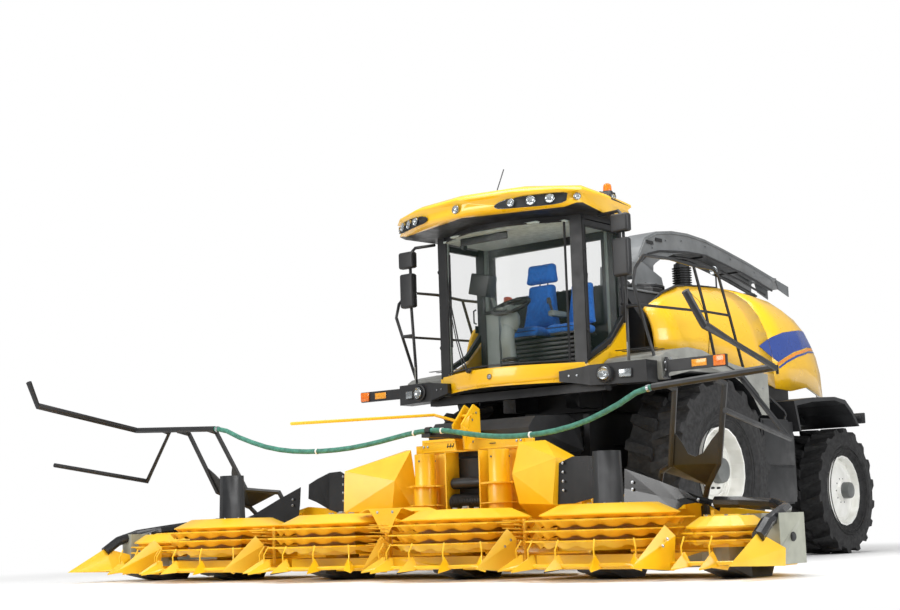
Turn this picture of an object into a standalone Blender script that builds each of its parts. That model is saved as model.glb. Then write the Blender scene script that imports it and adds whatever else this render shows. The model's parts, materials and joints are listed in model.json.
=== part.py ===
"""Self-propelled forage harvester with a folding row-independent maize header.

Metres, +Z up, forward along -Y, +X to the machine's left, floor at z = 0, front axle at y = 0.
"""
from math import acos, cos, pi, radians, sin

import bmesh
import bpy
from mathutils import Matrix, Vector

SIDES = (("left", 1), ("right", -1))
SEAT_GAP = 0.0003  # between touching solids
RUN_GAP = 0.008  # between a moving piece and its neighbour

# Wheels: axle height equals the tyre's radius at the tips of its lugs.
WHEEL_BASE = 3.163
FRONT_TYRE_RADIUS = 0.922
REAR_TYRE_RADIUS = 0.722
FRONT_TRACK = 2.58  # between the wheels' middle planes
REAR_TRACK = 2.24
KING_PIN_X = 0.74
STEER_ARM = 0.23  # from the king pin back to the track rod
AXLE_RADIUS = 0.095

# Frame and body
RAIL_X = 0.27
RAIL_WIDTH = 0.09
RAIL_Z = (1.02, 1.24)
FRAME_Y = (-0.45, 3.42)
HOOD_HALF_WIDTH = 1.22
HOOD_WALL = 0.03
HOOD_FRONT_Y = -0.58
HOOD_SEAM_Y = 1.85
HOOD_TOP_X = 0.56  # inner edge of the side shells on top
DECK_Z = 2.86

# Cab
CAB_FLOOR_Z = 1.97
CAB_CEILING_Z = 3.44
CAB_REAR_Y = -0.66
CAB_HALF_WIDTH = 0.93
CAB_WALL = 0.05
DOOR_FRONT_Y = -1.36
INDICATOR_HINGE = (1.632, -1.08)
INDICATOR_FOOT_Z = 1.80
ROOF_TOP_Z = 3.70

# Spout
TURRET_Y = 0.95
TURRET_Z = 3.0
TURRET_CHEEK_X = 0.20
SPOUT_PIVOT = (0.72, 3.16)  # y, z
SPOUT_END_Y = 4.40
FLAP_HINGE = (4.03, 3.44)

# Header
DRUM_PITCH = 1.50
DRUM_Y = -3.086
DRUM_TOP_Z = 0.60
DRUM_TIP_RADIUS = 0.69
DRUM_BOTTOM_Z = 0.235
END_DRUM = (3.31, -3.05)
END_DRUM_RADIUS = 0.355
END_DRUM_TOP_Z = 0.47
FOLD_HINGE = (1.50, 0.63)  # x, z
LIFT_PIVOT = (-0.66, 1.42)  # y, z
BARREL_PIN = (-0.30, 0.52)
ROD_PIN = (-1.38, 0.52)
HEADER_BACK_Y = -1.99
FEEDER_HALF = 0.40
FEED_DRUM = (0.455, -2.21)
FEED_DRUM_Z = (0.50, 1.157)
POST_TOP_Z = 1.025  # posts on the outer drums
BEAM_Z = (0.085, 0.20)  # trays under the drums
GUARD_Z = 0.125  # round bar in front of the drums
GUARD_RADIUS = 0.735


# Shapes. Each function returns a bmesh of one closed solid.


def box(low, high):
    bm = bmesh.new()
    bmesh.ops.create_cube(bm, size=1)
    size = [b - a for a, b in zip(low, high)]
    middle = [(a + b) / 2 for a, b in zip(low, high)]
    bmesh.ops.scale(bm, vec=size, verts=bm.verts)
    bmesh.ops.translate(bm, vec=middle, verts=bm.verts)
    return bm


def prism(axis, outline, low, high):
    """Extrude a flat outline along x, y or z; its points are in the other two axes, in order."""
    others = [i for i in range(3) if i != axis]
    bm = bmesh.new()
    verts = []
    for point in outline:
        place = [0.0, 0.0, 0.0]
        place[axis] = low
        place[others[0]], place[others[1]] = point
        verts.append(bm.verts.new(place))
    face = bm.faces.new(verts)
    made = bmesh.ops.extrude_face_region(bm, geom=[face])
    top = [v for v in made["geom"] if isinstance(v, bmesh.types.BMVert)]
    shift = Vector((0, 0, 0))
    shift[axis] = high - low
    bmesh.ops.translate(bm, vec=shift, verts=top)
    return bm


def hull(points):
    bm = bmesh.new()
    for point in points:
        bm.verts.new(point)
    made = bmesh.ops.convex_hull(bm, input=bm.verts)
    inside = [v for v in made["geom_interior"] if isinstance(v, bmesh.types.BMVert)]
    bmesh.ops.delete(bm, geom=inside, context="VERTS")
    return bm


def zip_rings(bm, lower, upper):
    """Skin between two closed rings of vertices around z, which may differ in count."""
    if len(lower) == len(upper):
        for i in range(len(lower)):
            j = (i + 1) % len(lower)
            bm.faces.new((lower[i], lower[j], upper[j], upper[i]))
        return
    i = j = 0
    while i < len(lower) or j < len(upper):
        if j == len(upper) or (i < len(lower) and (i + 1) / len(lower) <= (j + 1) / len(upper)):
            bm.faces.new((lower[i % len(lower)], lower[(i + 1) % len(lower)], upper[j % len(upper)]))
            i += 1
        else:
            bm.faces.new((lower[i % len(lower)], upper[(j + 1) % len(upper)], upper[j % len(upper)]))
            j += 1


def turned(rings, centre=(0, 0, 0), about="z"):
    """Stack rings of (radius, height, count) or (radius, height, count, tooth depth) into a solid."""
    bm = bmesh.new()
    loops = []
    for radius, height, count, *tooth in rings:
        loop = []
        for i in range(count):
            angle = 2 * pi * i / count
            r = radius - (tooth[0] if tooth and i % 2 else 0)
            loop.append(bm.verts.new((r * cos(angle), r * sin(angle), height)))
        loops.append(loop)
    for lower, upper in zip(loops, loops[1:]):
        zip_rings(bm, lower, upper)
    bm.faces.new(loops[0])
    bm.faces.new(loops[-1])
    if about == "x":
        bmesh.ops.rotate(bm, matrix=Matrix.Rotation(pi / 2, 3, "Y"), verts=bm.verts)
    if about == "y":
        bmesh.ops.rotate(bm, matrix=Matrix.Rotation(-pi / 2, 3, "X"), verts=bm.verts)
    bmesh.ops.translate(bm, vec=centre, verts=bm.verts)
    return bm


def pipe(points, radius, sides=8):
    """A round bar along a bent line, with mitred corners."""
    points = [Vector(p) for p in points]
    bm = bmesh.new()
    rings = []
    side = None
    for i, point in enumerate(points):
        before = (point - points[i - 1]).normalized() if i else (points[1] - point).normalized()
        after = (points[i + 1] - point).normalized() if i + 1 < len(points) else before
        along = (before + after).normalized()
        if side is None:
            start = Vector((0, 0, 1)) if abs(along.z) < 0.9 else Vector((1, 0, 0))
            side = along.cross(start).normalized()
        side = (side - along * side.dot(before) / along.dot(before)).normalized()
        up = along.cross(side).normalized()
        stretch = 1 / max(before.dot(along), 0.5)
        bend = (after - before)
        ring = []
        for k in range(sides):
            angle = 2 * pi * (k + 0.5) / sides
            offset = side * cos(angle) * radius + up * sin(angle) * radius
            if bend.length > 1e-6:
                out = bend.normalized()
                offset += out * offset.dot(out) * (stretch - 1)
            ring.append(bm.verts.new(point + offset))
        rings.append(ring)
    for lower, upper in zip(rings, rings[1:]):
        zip_rings(bm, lower, upper)
    bm.faces.new(rings[0])
    bm.faces.new(rings[-1])
    return bm


def loft(sections):
    """Skin through closed sections that have equal counts of points."""
    bm = bmesh.new()
    loops = [[bm.verts.new(p) for p in section] for section in sections]
    for lower, upper in zip(loops, loops[1:]):
        zip_rings(bm, lower, upper)
    bm.faces.new(loops[0])
    bm.faces.new(loops[-1])
    return bm


def shell(rows, thickness):
    """A sheet through rows of points, given a wall towards the side that its normals leave."""
    bm = bmesh.new()
    grid = [[bm.verts.new(p) for p in row] for row in rows]
    for a, b in zip(grid, grid[1:]):
        for i in range(len(a) - 1):
            bm.faces.new((a[i], a[i + 1], b[i + 1], b[i]))
    bmesh.ops.recalc_face_normals(bm, faces=bm.faces[:])
    bmesh.ops.solidify(bm, geom=bm.faces[:] + bm.edges[:] + bm.verts[:], thickness=thickness)
    return bm


def mirrored(bm, side):
    if side < 0:
        bmesh.ops.scale(bm, vec=(-1, 1, 1), verts=bm.verts)
    return bm


# Objects


def paint(name, colour, roughness, metallic=0.0):
    red, green, blue = (((c / 255 + 0.055) / 1.055) ** 2.4 for c in bytes.fromhex(colour))
    material = bpy.data.materials.new(name)
    material.use_nodes = True
    shader = material.node_tree.nodes["Principled BSDF"]
    shader.inputs["Base Color"].default_value = (red, green, blue, 1)
    shader.inputs["Roughness"].default_value = roughness
    shader.inputs["Metallic"].default_value = metallic
    material.diffuse_color = (red, green, blue, 1)
    return material


def placed(bm, name, material, pivot=(0, 0, 0)):
    """Make an object of the solid, with its origin at the joint that moves it."""
    bmesh.ops.recalc_face_normals(bm, faces=bm.faces[:])
    bmesh.ops.translate(bm, vec=-Vector(pivot), verts=bm.verts)
    mesh = bpy.data.meshes.new(name)
    bm.to_mesh(mesh)
    bm.free()
    mesh.materials.append(material)
    mesh.shade_smooth()
    mesh.set_sharp_from_angle(angle=radians(32))
    obj = bpy.data.objects.new(name, mesh)
    obj.location = pivot
    bpy.context.scene.collection.objects.link(obj)
    return obj


def fused(solids, name, material, pivot=(0, 0, 0), cuts=()):
    """Join overlapping solids into one, take the cuts away, and place it."""
    base, *others = [placed(bm, name + "_piece", material) for bm in solids]
    cutters = [placed(bm, name + "_cut", material) for bm in cuts]
    groups = []
    for operation, members in (("UNION", others), ("DIFFERENCE", cutters)):
        if not members:
            continue
        group = bpy.data.collections.new(name + operation)
        groups.append(group)
        for member in members:
            group.objects.link(member)
        modifier = base.modifiers.new(operation, "BOOLEAN")
        modifier.operation = operation
        modifier.operand_type = "COLLECTION"
        modifier.collection = group
        modifier.solver = "EXACT"
    graph = bpy.context.evaluated_depsgraph_get()
    bm = bmesh.new()
    bm.from_object(base, graph)
    for obj in [base] + others + cutters:
        mesh = obj.data
        bpy.data.objects.remove(obj, do_unlink=True)
        bpy.data.meshes.remove(mesh)
    for group in groups:
        bpy.data.collections.remove(group)
    bmesh.ops.remove_doubles(bm, verts=bm.verts, dist=1e-5)
    return placed(bm, name, material, pivot)


# Wheels and axles


def tyre(name, axle, radius, rim_radius, half_width, tread_half, lugs, lug_height, material):
    """A ring with chevron lugs: left and right bars alternate, swept back from the crown."""
    base = radius - lug_height
    rim_radius /= cos(pi / (2 * lugs))
    # across, radius, sweep in columns
    rows = (
        (-half_width * 0.74, rim_radius, 0.0),
        (-half_width, rim_radius + (base - rim_radius) * 0.52, 0.0),
        (-tread_half, base * 0.985, 0.0),
        (0.0, base, 1.0),
        (tread_half, base * 0.985, 0.0),
        (half_width, rim_radius + (base - rim_radius) * 0.52, 0.0),
        (half_width * 0.74, rim_radius, 0.0),
    )
    columns = 2 * lugs
    bm = bmesh.new()
    rings = []
    for across, r, sweep in rows:
        ring = []
        for i in range(columns):
            angle = 2 * pi * (i + sweep) / columns - pi / 2
            ring.append(bm.verts.new((across, r * cos(angle), r * sin(angle))))
        rings.append(ring)
    lug_faces = []
    for k, (inner, outer) in enumerate(zip(rings, rings[1:] + rings[:1])):
        for i in range(columns):
            j = (i + 1) % columns
            face = bm.faces.new((inner[i], inner[j], outer[j], outer[i]))
            if (k == 2 and i % 2 == 0) or (k == 3 and i % 2 == 1):
                lug_faces.append(face)
    bmesh.ops.recalc_face_normals(bm, faces=bm.faces[:])
    made = bmesh.ops.extrude_discrete_faces(bm, faces=lug_faces)
    for face in made["faces"]:
        middle = face.calc_center_median()
        around = Vector((0, -middle.z, middle.y)).normalized()
        for vert in face.verts:
            offset = (vert.co - middle).dot(around)
            vert.co -= around * offset * 0.42
            flat = Vector((0, vert.co.y, vert.co.z))
            vert.co += flat.normalized() * (radius - flat.length)
    bmesh.ops.translate(bm, vec=axle, verts=bm.verts)
    return placed(bm, name, material, axle)


def rim(name, axle, side, radius, half_width, dish, hub_radius, material):
    """A dished disc in a barrel; the disc lies dish inside the barrel's outer edge."""
    outer = half_width
    disc = half_width - dish
    profile = (
        (hub_radius * 0.9, disc + 0.05, 10),
        (hub_radius, disc + 0.02, 10),
        (radius * 0.86, disc - 0.02, 18),
        (radius - 0.022, disc - 0.03, 18),
        (radius - 0.018, outer, 18),
        (radius, outer, 18),
        (radius, -half_width, 18),
        (radius - 0.03, -half_width, 18),
        (radius - 0.045, disc - 0.06, 18),
        (hub_radius, disc - 0.02, 10),
    )
    bm = mirrored(turned(profile, about="x"), side)
    bmesh.ops.translate(bm, vec=axle, verts=bm.verts)
    return placed(bm, name, material, axle)


# name, y, radius, track, rim radius, tyre half width, tread half width, lugs, lug height, rim half width, dish, hub
WHEELS = (
    ("front", 0.0, FRONT_TYRE_RADIUS, FRONT_TRACK, 0.438, 0.325, 0.30, 19, 0.05, 0.273, 0.13, 0.17),
    ("rear", WHEEL_BASE, REAR_TYRE_RADIUS, REAR_TRACK, 0.403, 0.27, 0.25, 18, 0.042, 0.214, 0.05, 0.13),
)


def wheels(rubber, white):
    for (name, y, radius, track, rim_radius, half_width, tread, lugs, lug_height,
         rim_half, dish, hub) in WHEELS:
        for side_name, side in SIDES:
            axle = (side * track / 2, y, radius)
            tyre(f"{name}_tyre_{side_name}", axle, radius, rim_radius + SEAT_GAP,
                 half_width, tread, lugs, lug_height, rubber)
            rim(f"{name}_rim_{side_name}", axle, side, rim_radius, rim_half, dish, hub, white)


def disc_inner_x(track, rim_half, dish):
    return track / 2 + rim_half - dish - 0.02


def front_axle(steel):
    reach = disc_inner_x(FRONT_TRACK, 0.273, 0.13) - SEAT_GAP
    solids = [turned(((AXLE_RADIUS, -0.9, 12), (AXLE_RADIUS, 0.9, 12)),
                     (0, 0, FRONT_TYRE_RADIUS), "x")]
    for _, side in SIDES:
        drive = turned(((0.15, 0.62, 12), (0.24, 0.72, 12), (0.24, 0.92, 12), (0.2, 0.98, 12),
                        (0.16, reach, 12)), (0, 0, 0), "x")
        mirrored(drive, side)
        bmesh.ops.translate(drive, vec=(0, 0, FRONT_TYRE_RADIUS), verts=drive.verts)
        solids.append(drive)
        solids.append(box((side * RAIL_X - 0.09, -0.17, FRONT_TYRE_RADIUS - 0.05),
                          (side * RAIL_X + 0.09, 0.17, RAIL_Z[0] - SEAT_GAP)))
    return fused(solids, "front_axle", steel)


def rear_axle(steel):
    z = REAR_TYRE_RADIUS
    beam = [(-0.58, z - 0.09), (-0.2, z - 0.13), (0.2, z - 0.13), (0.58, z - 0.09),
            (0.58, z + 0.09), (0.2, z + 0.17), (-0.2, z + 0.17), (-0.58, z + 0.09)]
    solids = [prism(1, beam, WHEEL_BASE - 0.1, WHEEL_BASE + 0.1)]
    for _, side in SIDES:
        for low, high in ((z - 0.15, z - 0.085), (z + 0.085, z + 0.15)):
            solids.append(box((min(side * 0.5, side * (KING_PIN_X + 0.045)), WHEEL_BASE - 0.07, low),
                              (max(side * 0.5, side * (KING_PIN_X + 0.045)), WHEEL_BASE + 0.07, high)))
        solids.append(box((min(side * 0.5, side * 0.6), WHEEL_BASE - 0.08, z - 0.14),
                          (max(side * 0.5, side * 0.6), WHEEL_BASE + 0.08, z + 0.14)))
    solids.append(box((-0.16, WHEEL_BASE - 0.18, z + 0.1), (0.16, WHEEL_BASE + 0.18,
                                                          RAIL_Z[0] - SEAT_GAP)))
    return fused(solids, "rear_axle", steel)


def knuckles(steel):
    z = REAR_TYRE_RADIUS
    reach = disc_inner_x(REAR_TRACK, 0.214, 0.05) - SEAT_GAP
    for side_name, side in SIDES:
        stub = mirrored(turned(((0.11, KING_PIN_X + 0.09, 12), (0.11, reach - 0.12, 12),
                                (0.12, reach, 12)), (0, 0, 0), "x"), side)
        bmesh.ops.translate(stub, vec=(0, WHEEL_BASE, z), verts=stub.verts)
        body = mirrored(box((KING_PIN_X - 0.06, WHEEL_BASE - 0.08, z - 0.08),
                            (KING_PIN_X + 0.12, WHEEL_BASE + 0.08, z + 0.08)), side)
        arm = box((side * KING_PIN_X - 0.04, WHEEL_BASE + 0.06, z - 0.03),
                  (side * KING_PIN_X + 0.04, WHEEL_BASE + 0.26, z + 0.03))
        fused([stub, body, arm], f"knuckle_{side_name}", steel, (side * KING_PIN_X, WHEEL_BASE, z))


def track_rod(steel):
    z = REAR_TYRE_RADIUS - 0.055
    reach = KING_PIN_X + 0.015
    y = WHEEL_BASE + STEER_ARM
    solids = [pipe([(-reach, y, z), (reach, y, z)], 0.02, 8)]
    for _, side in SIDES:
        x = side * (reach - 0.015)
        solids.append(turned(((0.014, z, 8), (0.014, REAR_TYRE_RADIUS - 0.03 - SEAT_GAP, 8)), (x, y, 0)))
    return fused(solids, "track_rod", steel)


# Frame and body


# x, y, z of the rail by which the walkway is climbed, from the tank's top up, back and down again
HANDRAIL = ((1.44, 1.0, 1.44), (1.44, 1.0, 1.78), (1.44, 1.04, 1.815), (1.44, 1.58, 1.585), (1.44, 1.62, 1.54),
            (1.44, 1.56, 1.42))


def frame(black):
    solids = []
    for _, side in SIDES:
        x = side * RAIL_X
        solids.append(box((x - RAIL_WIDTH / 2, FRAME_Y[0], RAIL_Z[0]), (x + RAIL_WIDTH / 2, FRAME_Y[1], RAIL_Z[1])))
        outline = [(0.98, 0.60), (1.05, 0.56), (1.63, 0.58), (1.71, 0.66), (1.71, 1.32), (1.58, 1.48),
                   (0.98, 1.48)]
        tank = prism(0, outline, 0.62, 1.48)
        solids.append(mirrored(tank, side))
        solids.append(mirrored(pipe(HANDRAIL, 0.016, 6), side))
        solids.append(box((min(x, side * 0.9), 1.2, 1.05), (max(x, side * 0.9), 1.5, 1.2)))
        y, z = BARREL_PIN
        solids.append(prism(0, [(y - 0.08, z - 0.06), (y + 0.06, z - 0.06), (-0.19, 1.1), (-0.44, 1.1)],
                            side * RAIL_X - 0.03, side * RAIL_X + 0.03))
        y, z = LIFT_PIVOT
        solids.append(mirrored(box((FEEDER_HALF + 0.04 + SEAT_GAP, y - 0.12, RAIL_Z[0] + 0.03),
                                   (FEEDER_HALF + 0.11, -0.36, z + 0.11)), side))
        solids.append(mirrored(box((RAIL_X, -0.44, RAIL_Z[0] + 0.03), (FEEDER_HALF + 0.08, -0.37, RAIL_Z[1] - 0.03)), side))
    for y in (FRAME_Y[0] + 0.07, 0.62, 1.75, 2.6, FRAME_Y[1] - 0.06):
        solids.append(box((-RAIL_X, y - 0.05, RAIL_Z[0] + 0.03), (RAIL_X, y + 0.05, RAIL_Z[1] - 0.03)))
    return fused(solids, "frame", black)


def engine(iron):
    return placed(box((-0.52, 1.85, 1.32), (0.52, 2.55, 2.30)), "engine", iron)


def inner_body(black):
    """Chopping and blowing housings over the front axle, and the cooler box under the deck."""
    narrow = CAB_HALF_WIDTH - 0.03  # between the platforms
    solids = [
        box((-0.40, -0.35, RAIL_Z[1] + SEAT_GAP), (0.40, 1.70, 2.0)),
        box((-0.50, -0.50, 1.58), (0.50, 1.70, 2.0)),
        prism(1, [(-narrow, 1.95), (narrow, 1.95), (narrow, 2.14), (1.04, 2.16), (1.04, 2.40), (0.80, DECK_Z - 0.06),
                  (0.62, DECK_Z), (-0.62, DECK_Z), (-0.80, DECK_Z - 0.06), (-1.04, 2.40), (-1.04, 2.16),
                  (-narrow, 2.14)], -0.50, 0.90),
        box((-0.53, 0.8, 1.95), (0.53, 1.60, DECK_Z - 0.01)),
        turned(((0.34, 2.7, 20), (0.34, TURRET_Z - SEAT_GAP, 20)), (0, TURRET_Y, 0)),
        turned(((0.09, 2.3, 10), (0.09, 3.34, 10)), (0.3, 1.52, 0)),
        box((0.25, 1.45, 2.5), (0.49, 1.59, 2.8)),
    ]
    return fused(solids, "inner_body", black)


def hood_top(y):
    """Height of the hood's crown line: it rises from the cab and falls to the tail."""
    rise = ((-0.75, 2.50), (-0.42, 2.63), (0.02, 2.81), (0.47, 2.91), (0.93, 2.99), (1.42, 3.04),
            (1.92, 3.07), (2.27, 3.07), (2.62, 3.04), (2.97, 2.96), (3.22, 2.85), (3.60, 2.50))
    for (y0, z0), (y1, z1) in zip(rise, rise[1:]):
        if y <= y1:
            return z0 + (z1 - z0) * (y - y0) / (y1 - y0)
    return rise[-1][1]


def hood_bottom(y):
    low = ((-0.75, 2.125), (0.4, 2.125), (1.0, 2.04), (1.85, 1.86), (2.1, 1.80), (2.3, 1.86), (2.6, 1.92), (2.9, 1.84),
           (3.2, 1.82), (3.6, 1.82))
    for (y0, z0), (y1, z1) in zip(low, low[1:]):
        if y <= y1:
            return z0 + (z1 - z0) * (y - y0) / (y1 - y0)
    return low[-1][1]


ARCH_STEPS = 7


def hood_arch(y, half_width, inner_x, top=None):
    """Points from the bottom edge up and over the shoulder to the inner edge on top."""
    low, high = hood_bottom(y), hood_top(y) if top is None else top
    end = acos(min(1, inner_x / half_width) ** 1.6)
    row = []
    for i in range(ARCH_STEPS):
        t = end * i / (ARCH_STEPS - 1)
        x = half_width * cos(t) ** 0.625
        z = low + (high - low) * (sin(t) / sin(end)) ** 0.8
        row.append((x, y, z))
    return row


def side_panels(yellow):
    # y, inner edge on top
    stations = ((HOOD_FRONT_Y, 1.10), (-0.1, 1.02), (0.45, 0.86), (1.0, 0.62), (1.45, HOOD_TOP_X),
                (HOOD_SEAM_Y - 0.003, HOOD_TOP_X))
    for side_name, side in SIDES:
        rows = [hood_arch(y, HOOD_HALF_WIDTH, inner) for y, inner in stations]
        placed(mirrored(shell(rows, HOOD_WALL), side), f"side_panel_{side_name}", yellow)


TAIL_Y = 3.52


def rear_doors(yellow):
    """Quarter shells that reach from the seam round the tail's corner."""
    # y, half width of the shell, inner edge
    stations = ((HOOD_SEAM_Y + 0.003, 1.22, 0.56), (2.25, 1.22, 0.56), (2.65, 1.21, 0.56),
                (3.0, 1.17, 0.56), (3.28, 1.08, 0.56), (3.44, 0.95, 0.56))
    for side_name, side in SIDES:
        rows = [hood_arch(y, width, inner) for y, width, inner in stations]
        pivot = (side * (HOOD_HALF_WIDTH + 0.01), HOOD_SEAM_Y + 0.003, 2.3)
        placed(mirrored(shell(rows, HOOD_WALL), side), f"rear_door_{side_name}", yellow, pivot)


def rear_grille(black):
    top = HOOD_TOP_X - RUN_GAP
    outline = [(1.70, 2.72), (2.6, 2.72), (2.6, 1.6), (3.44, 1.6), (3.44, 2.45), (3.2, 2.8), (2.9, 2.93),
               (2.6, 2.99), (2.2, 3.02), (1.70, 3.0)]
    solids = [prism(0, outline, -top, top),
              box((-0.45, 3.30, RAIL_Z[1] + SEAT_GAP), (0.45, 3.42, 1.7))]
    for _, side in SIDES:
        solids.append(pipe([(side * 0.42, 2.5, 2.95), (side * 0.42, 2.56, 3.07), (side * 0.42, 2.97, 3.11),
                            (side * 0.42, 3.10, 2.80)], 0.018, 6))
    return fused(solids, "rear_grille", black)


def rear_fenders(black):
    solids = [box((-0.90, 3.44 + SEAT_GAP, 1.50), (0.90, 3.50, 1.62))]
    # y, z along the fender's top, from the front lip to the tail lamp
    top = [(1.78, 1.36), (1.68, 1.69), (2.14, 1.745), (2.68, 1.775), (2.95, 1.75), (3.12, 1.64), (3.28, 1.46)]
    under = [(3.24, 1.455), (3.09, 1.60), (2.93, 1.70), (2.68, 1.735), (2.16, 1.70), (1.74, 1.64), (1.82, 1.36)]
    for _, side in SIDES:
        solids.append(mirrored(prism(0, top + under, 0.80, 1.52), side))
        solids.append(mirrored(box((0.82, 3.05, 1.50), (0.90, 3.48, 1.62)), side))
    return fused(solids, "rear_fenders", black)


# Cab


def nose(bulge):
    """Half plan of the cab's curved front, from the door's corner to the middle."""
    return [(CAB_HALF_WIDTH, DOOR_FRONT_Y + 0.04), (0.87, DOOR_FRONT_Y), (0.75, -1.42 - bulge), (0.50, -1.56 - bulge),
            (0.25, -1.66 - bulge), (0.0, -1.70 - bulge)]


def full_plan(half, rear):
    """Close a half plan over the middle and back along the rear."""
    left = list(half)
    right = [(-x, y) for x, y in reversed(half[:-1])]
    return left + right + [(-half[0][0], rear), (half[0][0], rear)]


def cab_floor(yellow):
    outer = full_plan(nose(0.02), CAB_REAR_Y)
    solids = [prism(2, outer, CAB_FLOOR_Z - 0.17, CAB_FLOOR_Z)]
    sill = [(DOOR_FRONT_Y, CAB_FLOOR_Z - 0.05), (CAB_REAR_Y, CAB_FLOOR_Z - 0.05), (CAB_REAR_Y, 2.42),
            (-0.95, 2.16), (DOOR_FRONT_Y, CAB_FLOOR_Z)]
    for _, side in SIDES:
        solids.append(mirrored(prism(0, sill, CAB_HALF_WIDTH - CAB_WALL, CAB_HALF_WIDTH), side))
        solids.append(box((side * 0.4 - 0.08, -0.90, 1.60), (side * 0.4 + 0.08, -0.50 - SEAT_GAP, CAB_FLOOR_Z - 0.1)))
    return fused(solids, "cab_floor", yellow)


def cab_frame(black):
    base, top = CAB_FLOOR_Z + SEAT_GAP, CAB_CEILING_Z
    solids = []
    for _, side in SIDES:
        post = hull([(side * x, y, z) for x, y, z in (
            (0.92, -1.36, base), (0.84, -1.36, base), (0.80, -1.39, base), (0.86, -1.37, base),
            (0.92, -1.36, top), (0.84, -1.36, top), (0.80, -1.39, top), (0.86, -1.37, top),
            (0.92, -1.362, base), (0.80, -1.375, top))])
        solids.append(post)
        solids.append(box((min(side * 0.80, side * 0.872), CAB_REAR_Y - 0.08, base),
                          (max(side * 0.80, side * 0.872), CAB_REAR_Y, top)))
    solids.append(prism(2, full_plan(nose(-0.03), CAB_REAR_Y), top - 0.04, top))
    rear = box((-0.86, CAB_REAR_Y - 0.05, base), (0.86, CAB_REAR_Y, top))
    window = box((-0.7, CAB_REAR_Y - 0.2, 2.45), (0.7, CAB_REAR_Y + 0.2, 3.3))
    return fused(solids + [rear], "cab_frame", black, cuts=[window])


def cab_roof(yellow):
    """A visor roof: a bowed front brow that overhangs the windscreen."""
    z0 = CAB_CEILING_Z + SEAT_GAP
    # level, half plan
    def plan(grow, front):
        return [(1.02 + grow, -0.62), (1.10 + grow, -1.10), (1.165 + grow, -1.70 - front), (1.0 + grow, -1.86 - front),
                (0.6, -2.08 - front), (0.0, -2.19 - front)]

    def ring(half, z):
        right = [(-x, y) for x, y in reversed(half[:-1])]
        return [(x, y, z) for x, y in half + right]

    # growth, overhang in front, height above the ceiling
    levels = ((-0.04, -0.06, 0.0), (0.0, -0.02, 0.03), (-0.03, -0.05, 0.13), (0.01, 0.0, 0.15),
              (0.005, -0.01, 0.175), (-0.08, -0.12, 0.225), (-0.18, -0.26, ROOF_TOP_Z - z0))
    aerial = [(-0.1, -1.38, ROOF_TOP_Z - 0.02), (-0.1, -1.38, 3.81), (-0.1, -1.24, 4.08)]
    solids = [loft([ring(plan(grow, front), z0 + rise) for grow, front, rise in levels]), pipe(aerial, 0.006, 6)]
    for _, side in SIDES:
        solids.append(box((side * 0.98 - 0.05, -1.03, ROOF_TOP_Z - 0.15), (side * 0.98 + 0.05, -0.9, ROOF_TOP_Z - 0.0)))
    return fused(solids, "cab_roof", yellow)


def windscreen(glass):
    z0, z1 = CAB_FLOOR_Z + 0.04, CAB_CEILING_Z - 0.05
    half = nose(0.0)[2:]
    inner = [(x * 0.985, y + 0.012) for x, y in half]
    outline = [(x, y) for x, y in half] + [(-x, y) for x, y in reversed(half[:-1])]
    inside = [(x, y) for x, y in inner] + [(-x, y) for x, y in reversed(inner[:-1])]
    return placed(prism(2, outline + list(reversed(inside)), z0, z1), "windscreen", glass)


def cab_doors(black):
    y0, y1 = DOOR_FRONT_Y + 0.006, CAB_REAR_Y - 0.006
    x0, x1 = CAB_HALF_WIDTH - 0.045, CAB_HALF_WIDTH - 0.005
    sill = [(y0, CAB_FLOOR_Z + 0.03), (-0.95, 2.19), (y1, 2.45)]
    top = CAB_CEILING_Z - 0.05
    outline = sill + [(y1, top), (y0, top)]
    hole = [(y0 + 0.05, CAB_FLOOR_Z + 0.10), (-0.95, 2.25), (y1 - 0.05, 2.49), (y1 - 0.05, top - 0.06),
            (y0 + 0.05, top - 0.06)]
    for side_name, side in SIDES:
        panel = mirrored(prism(0, outline, x0, x1), side)
        window = mirrored(prism(0, hole, x0 - 0.1, x1 + 0.1), side)
        fused([panel], f"door_{side_name}", black, (side * x1, y0, 2.7), cuts=[window])


def seats(blue):
    floor = CAB_FLOOR_Z + 0.33
    solids = [box((-0.18, -1.15, CAB_FLOOR_Z + 0.06), (0.62, -0.80, floor + 0.02))]
    # x, front y, half width, back height
    for x, y, half, tall in ((0.02, -1.25, 0.25, 0.85), (0.52, -1.25, 0.2, 0.62)):
        solids.append(box((x - half, y, floor), (x + half, y + 0.46, floor + 0.13)))
        back = [(x + sx * half * k, y + d, floor + h) for sx in (-1, 1) for k, d, h in (
            (0.98, 0.38, 0.03), (0.98, 0.49, 0.03), (0.9, 0.40, tall * 0.7), (0.9, 0.50, tall * 0.7),
            (0.55, 0.43, tall), (0.55, 0.51, tall))]
        solids.append(hull(back))
    return fused(solids, "seats", blue)


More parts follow.
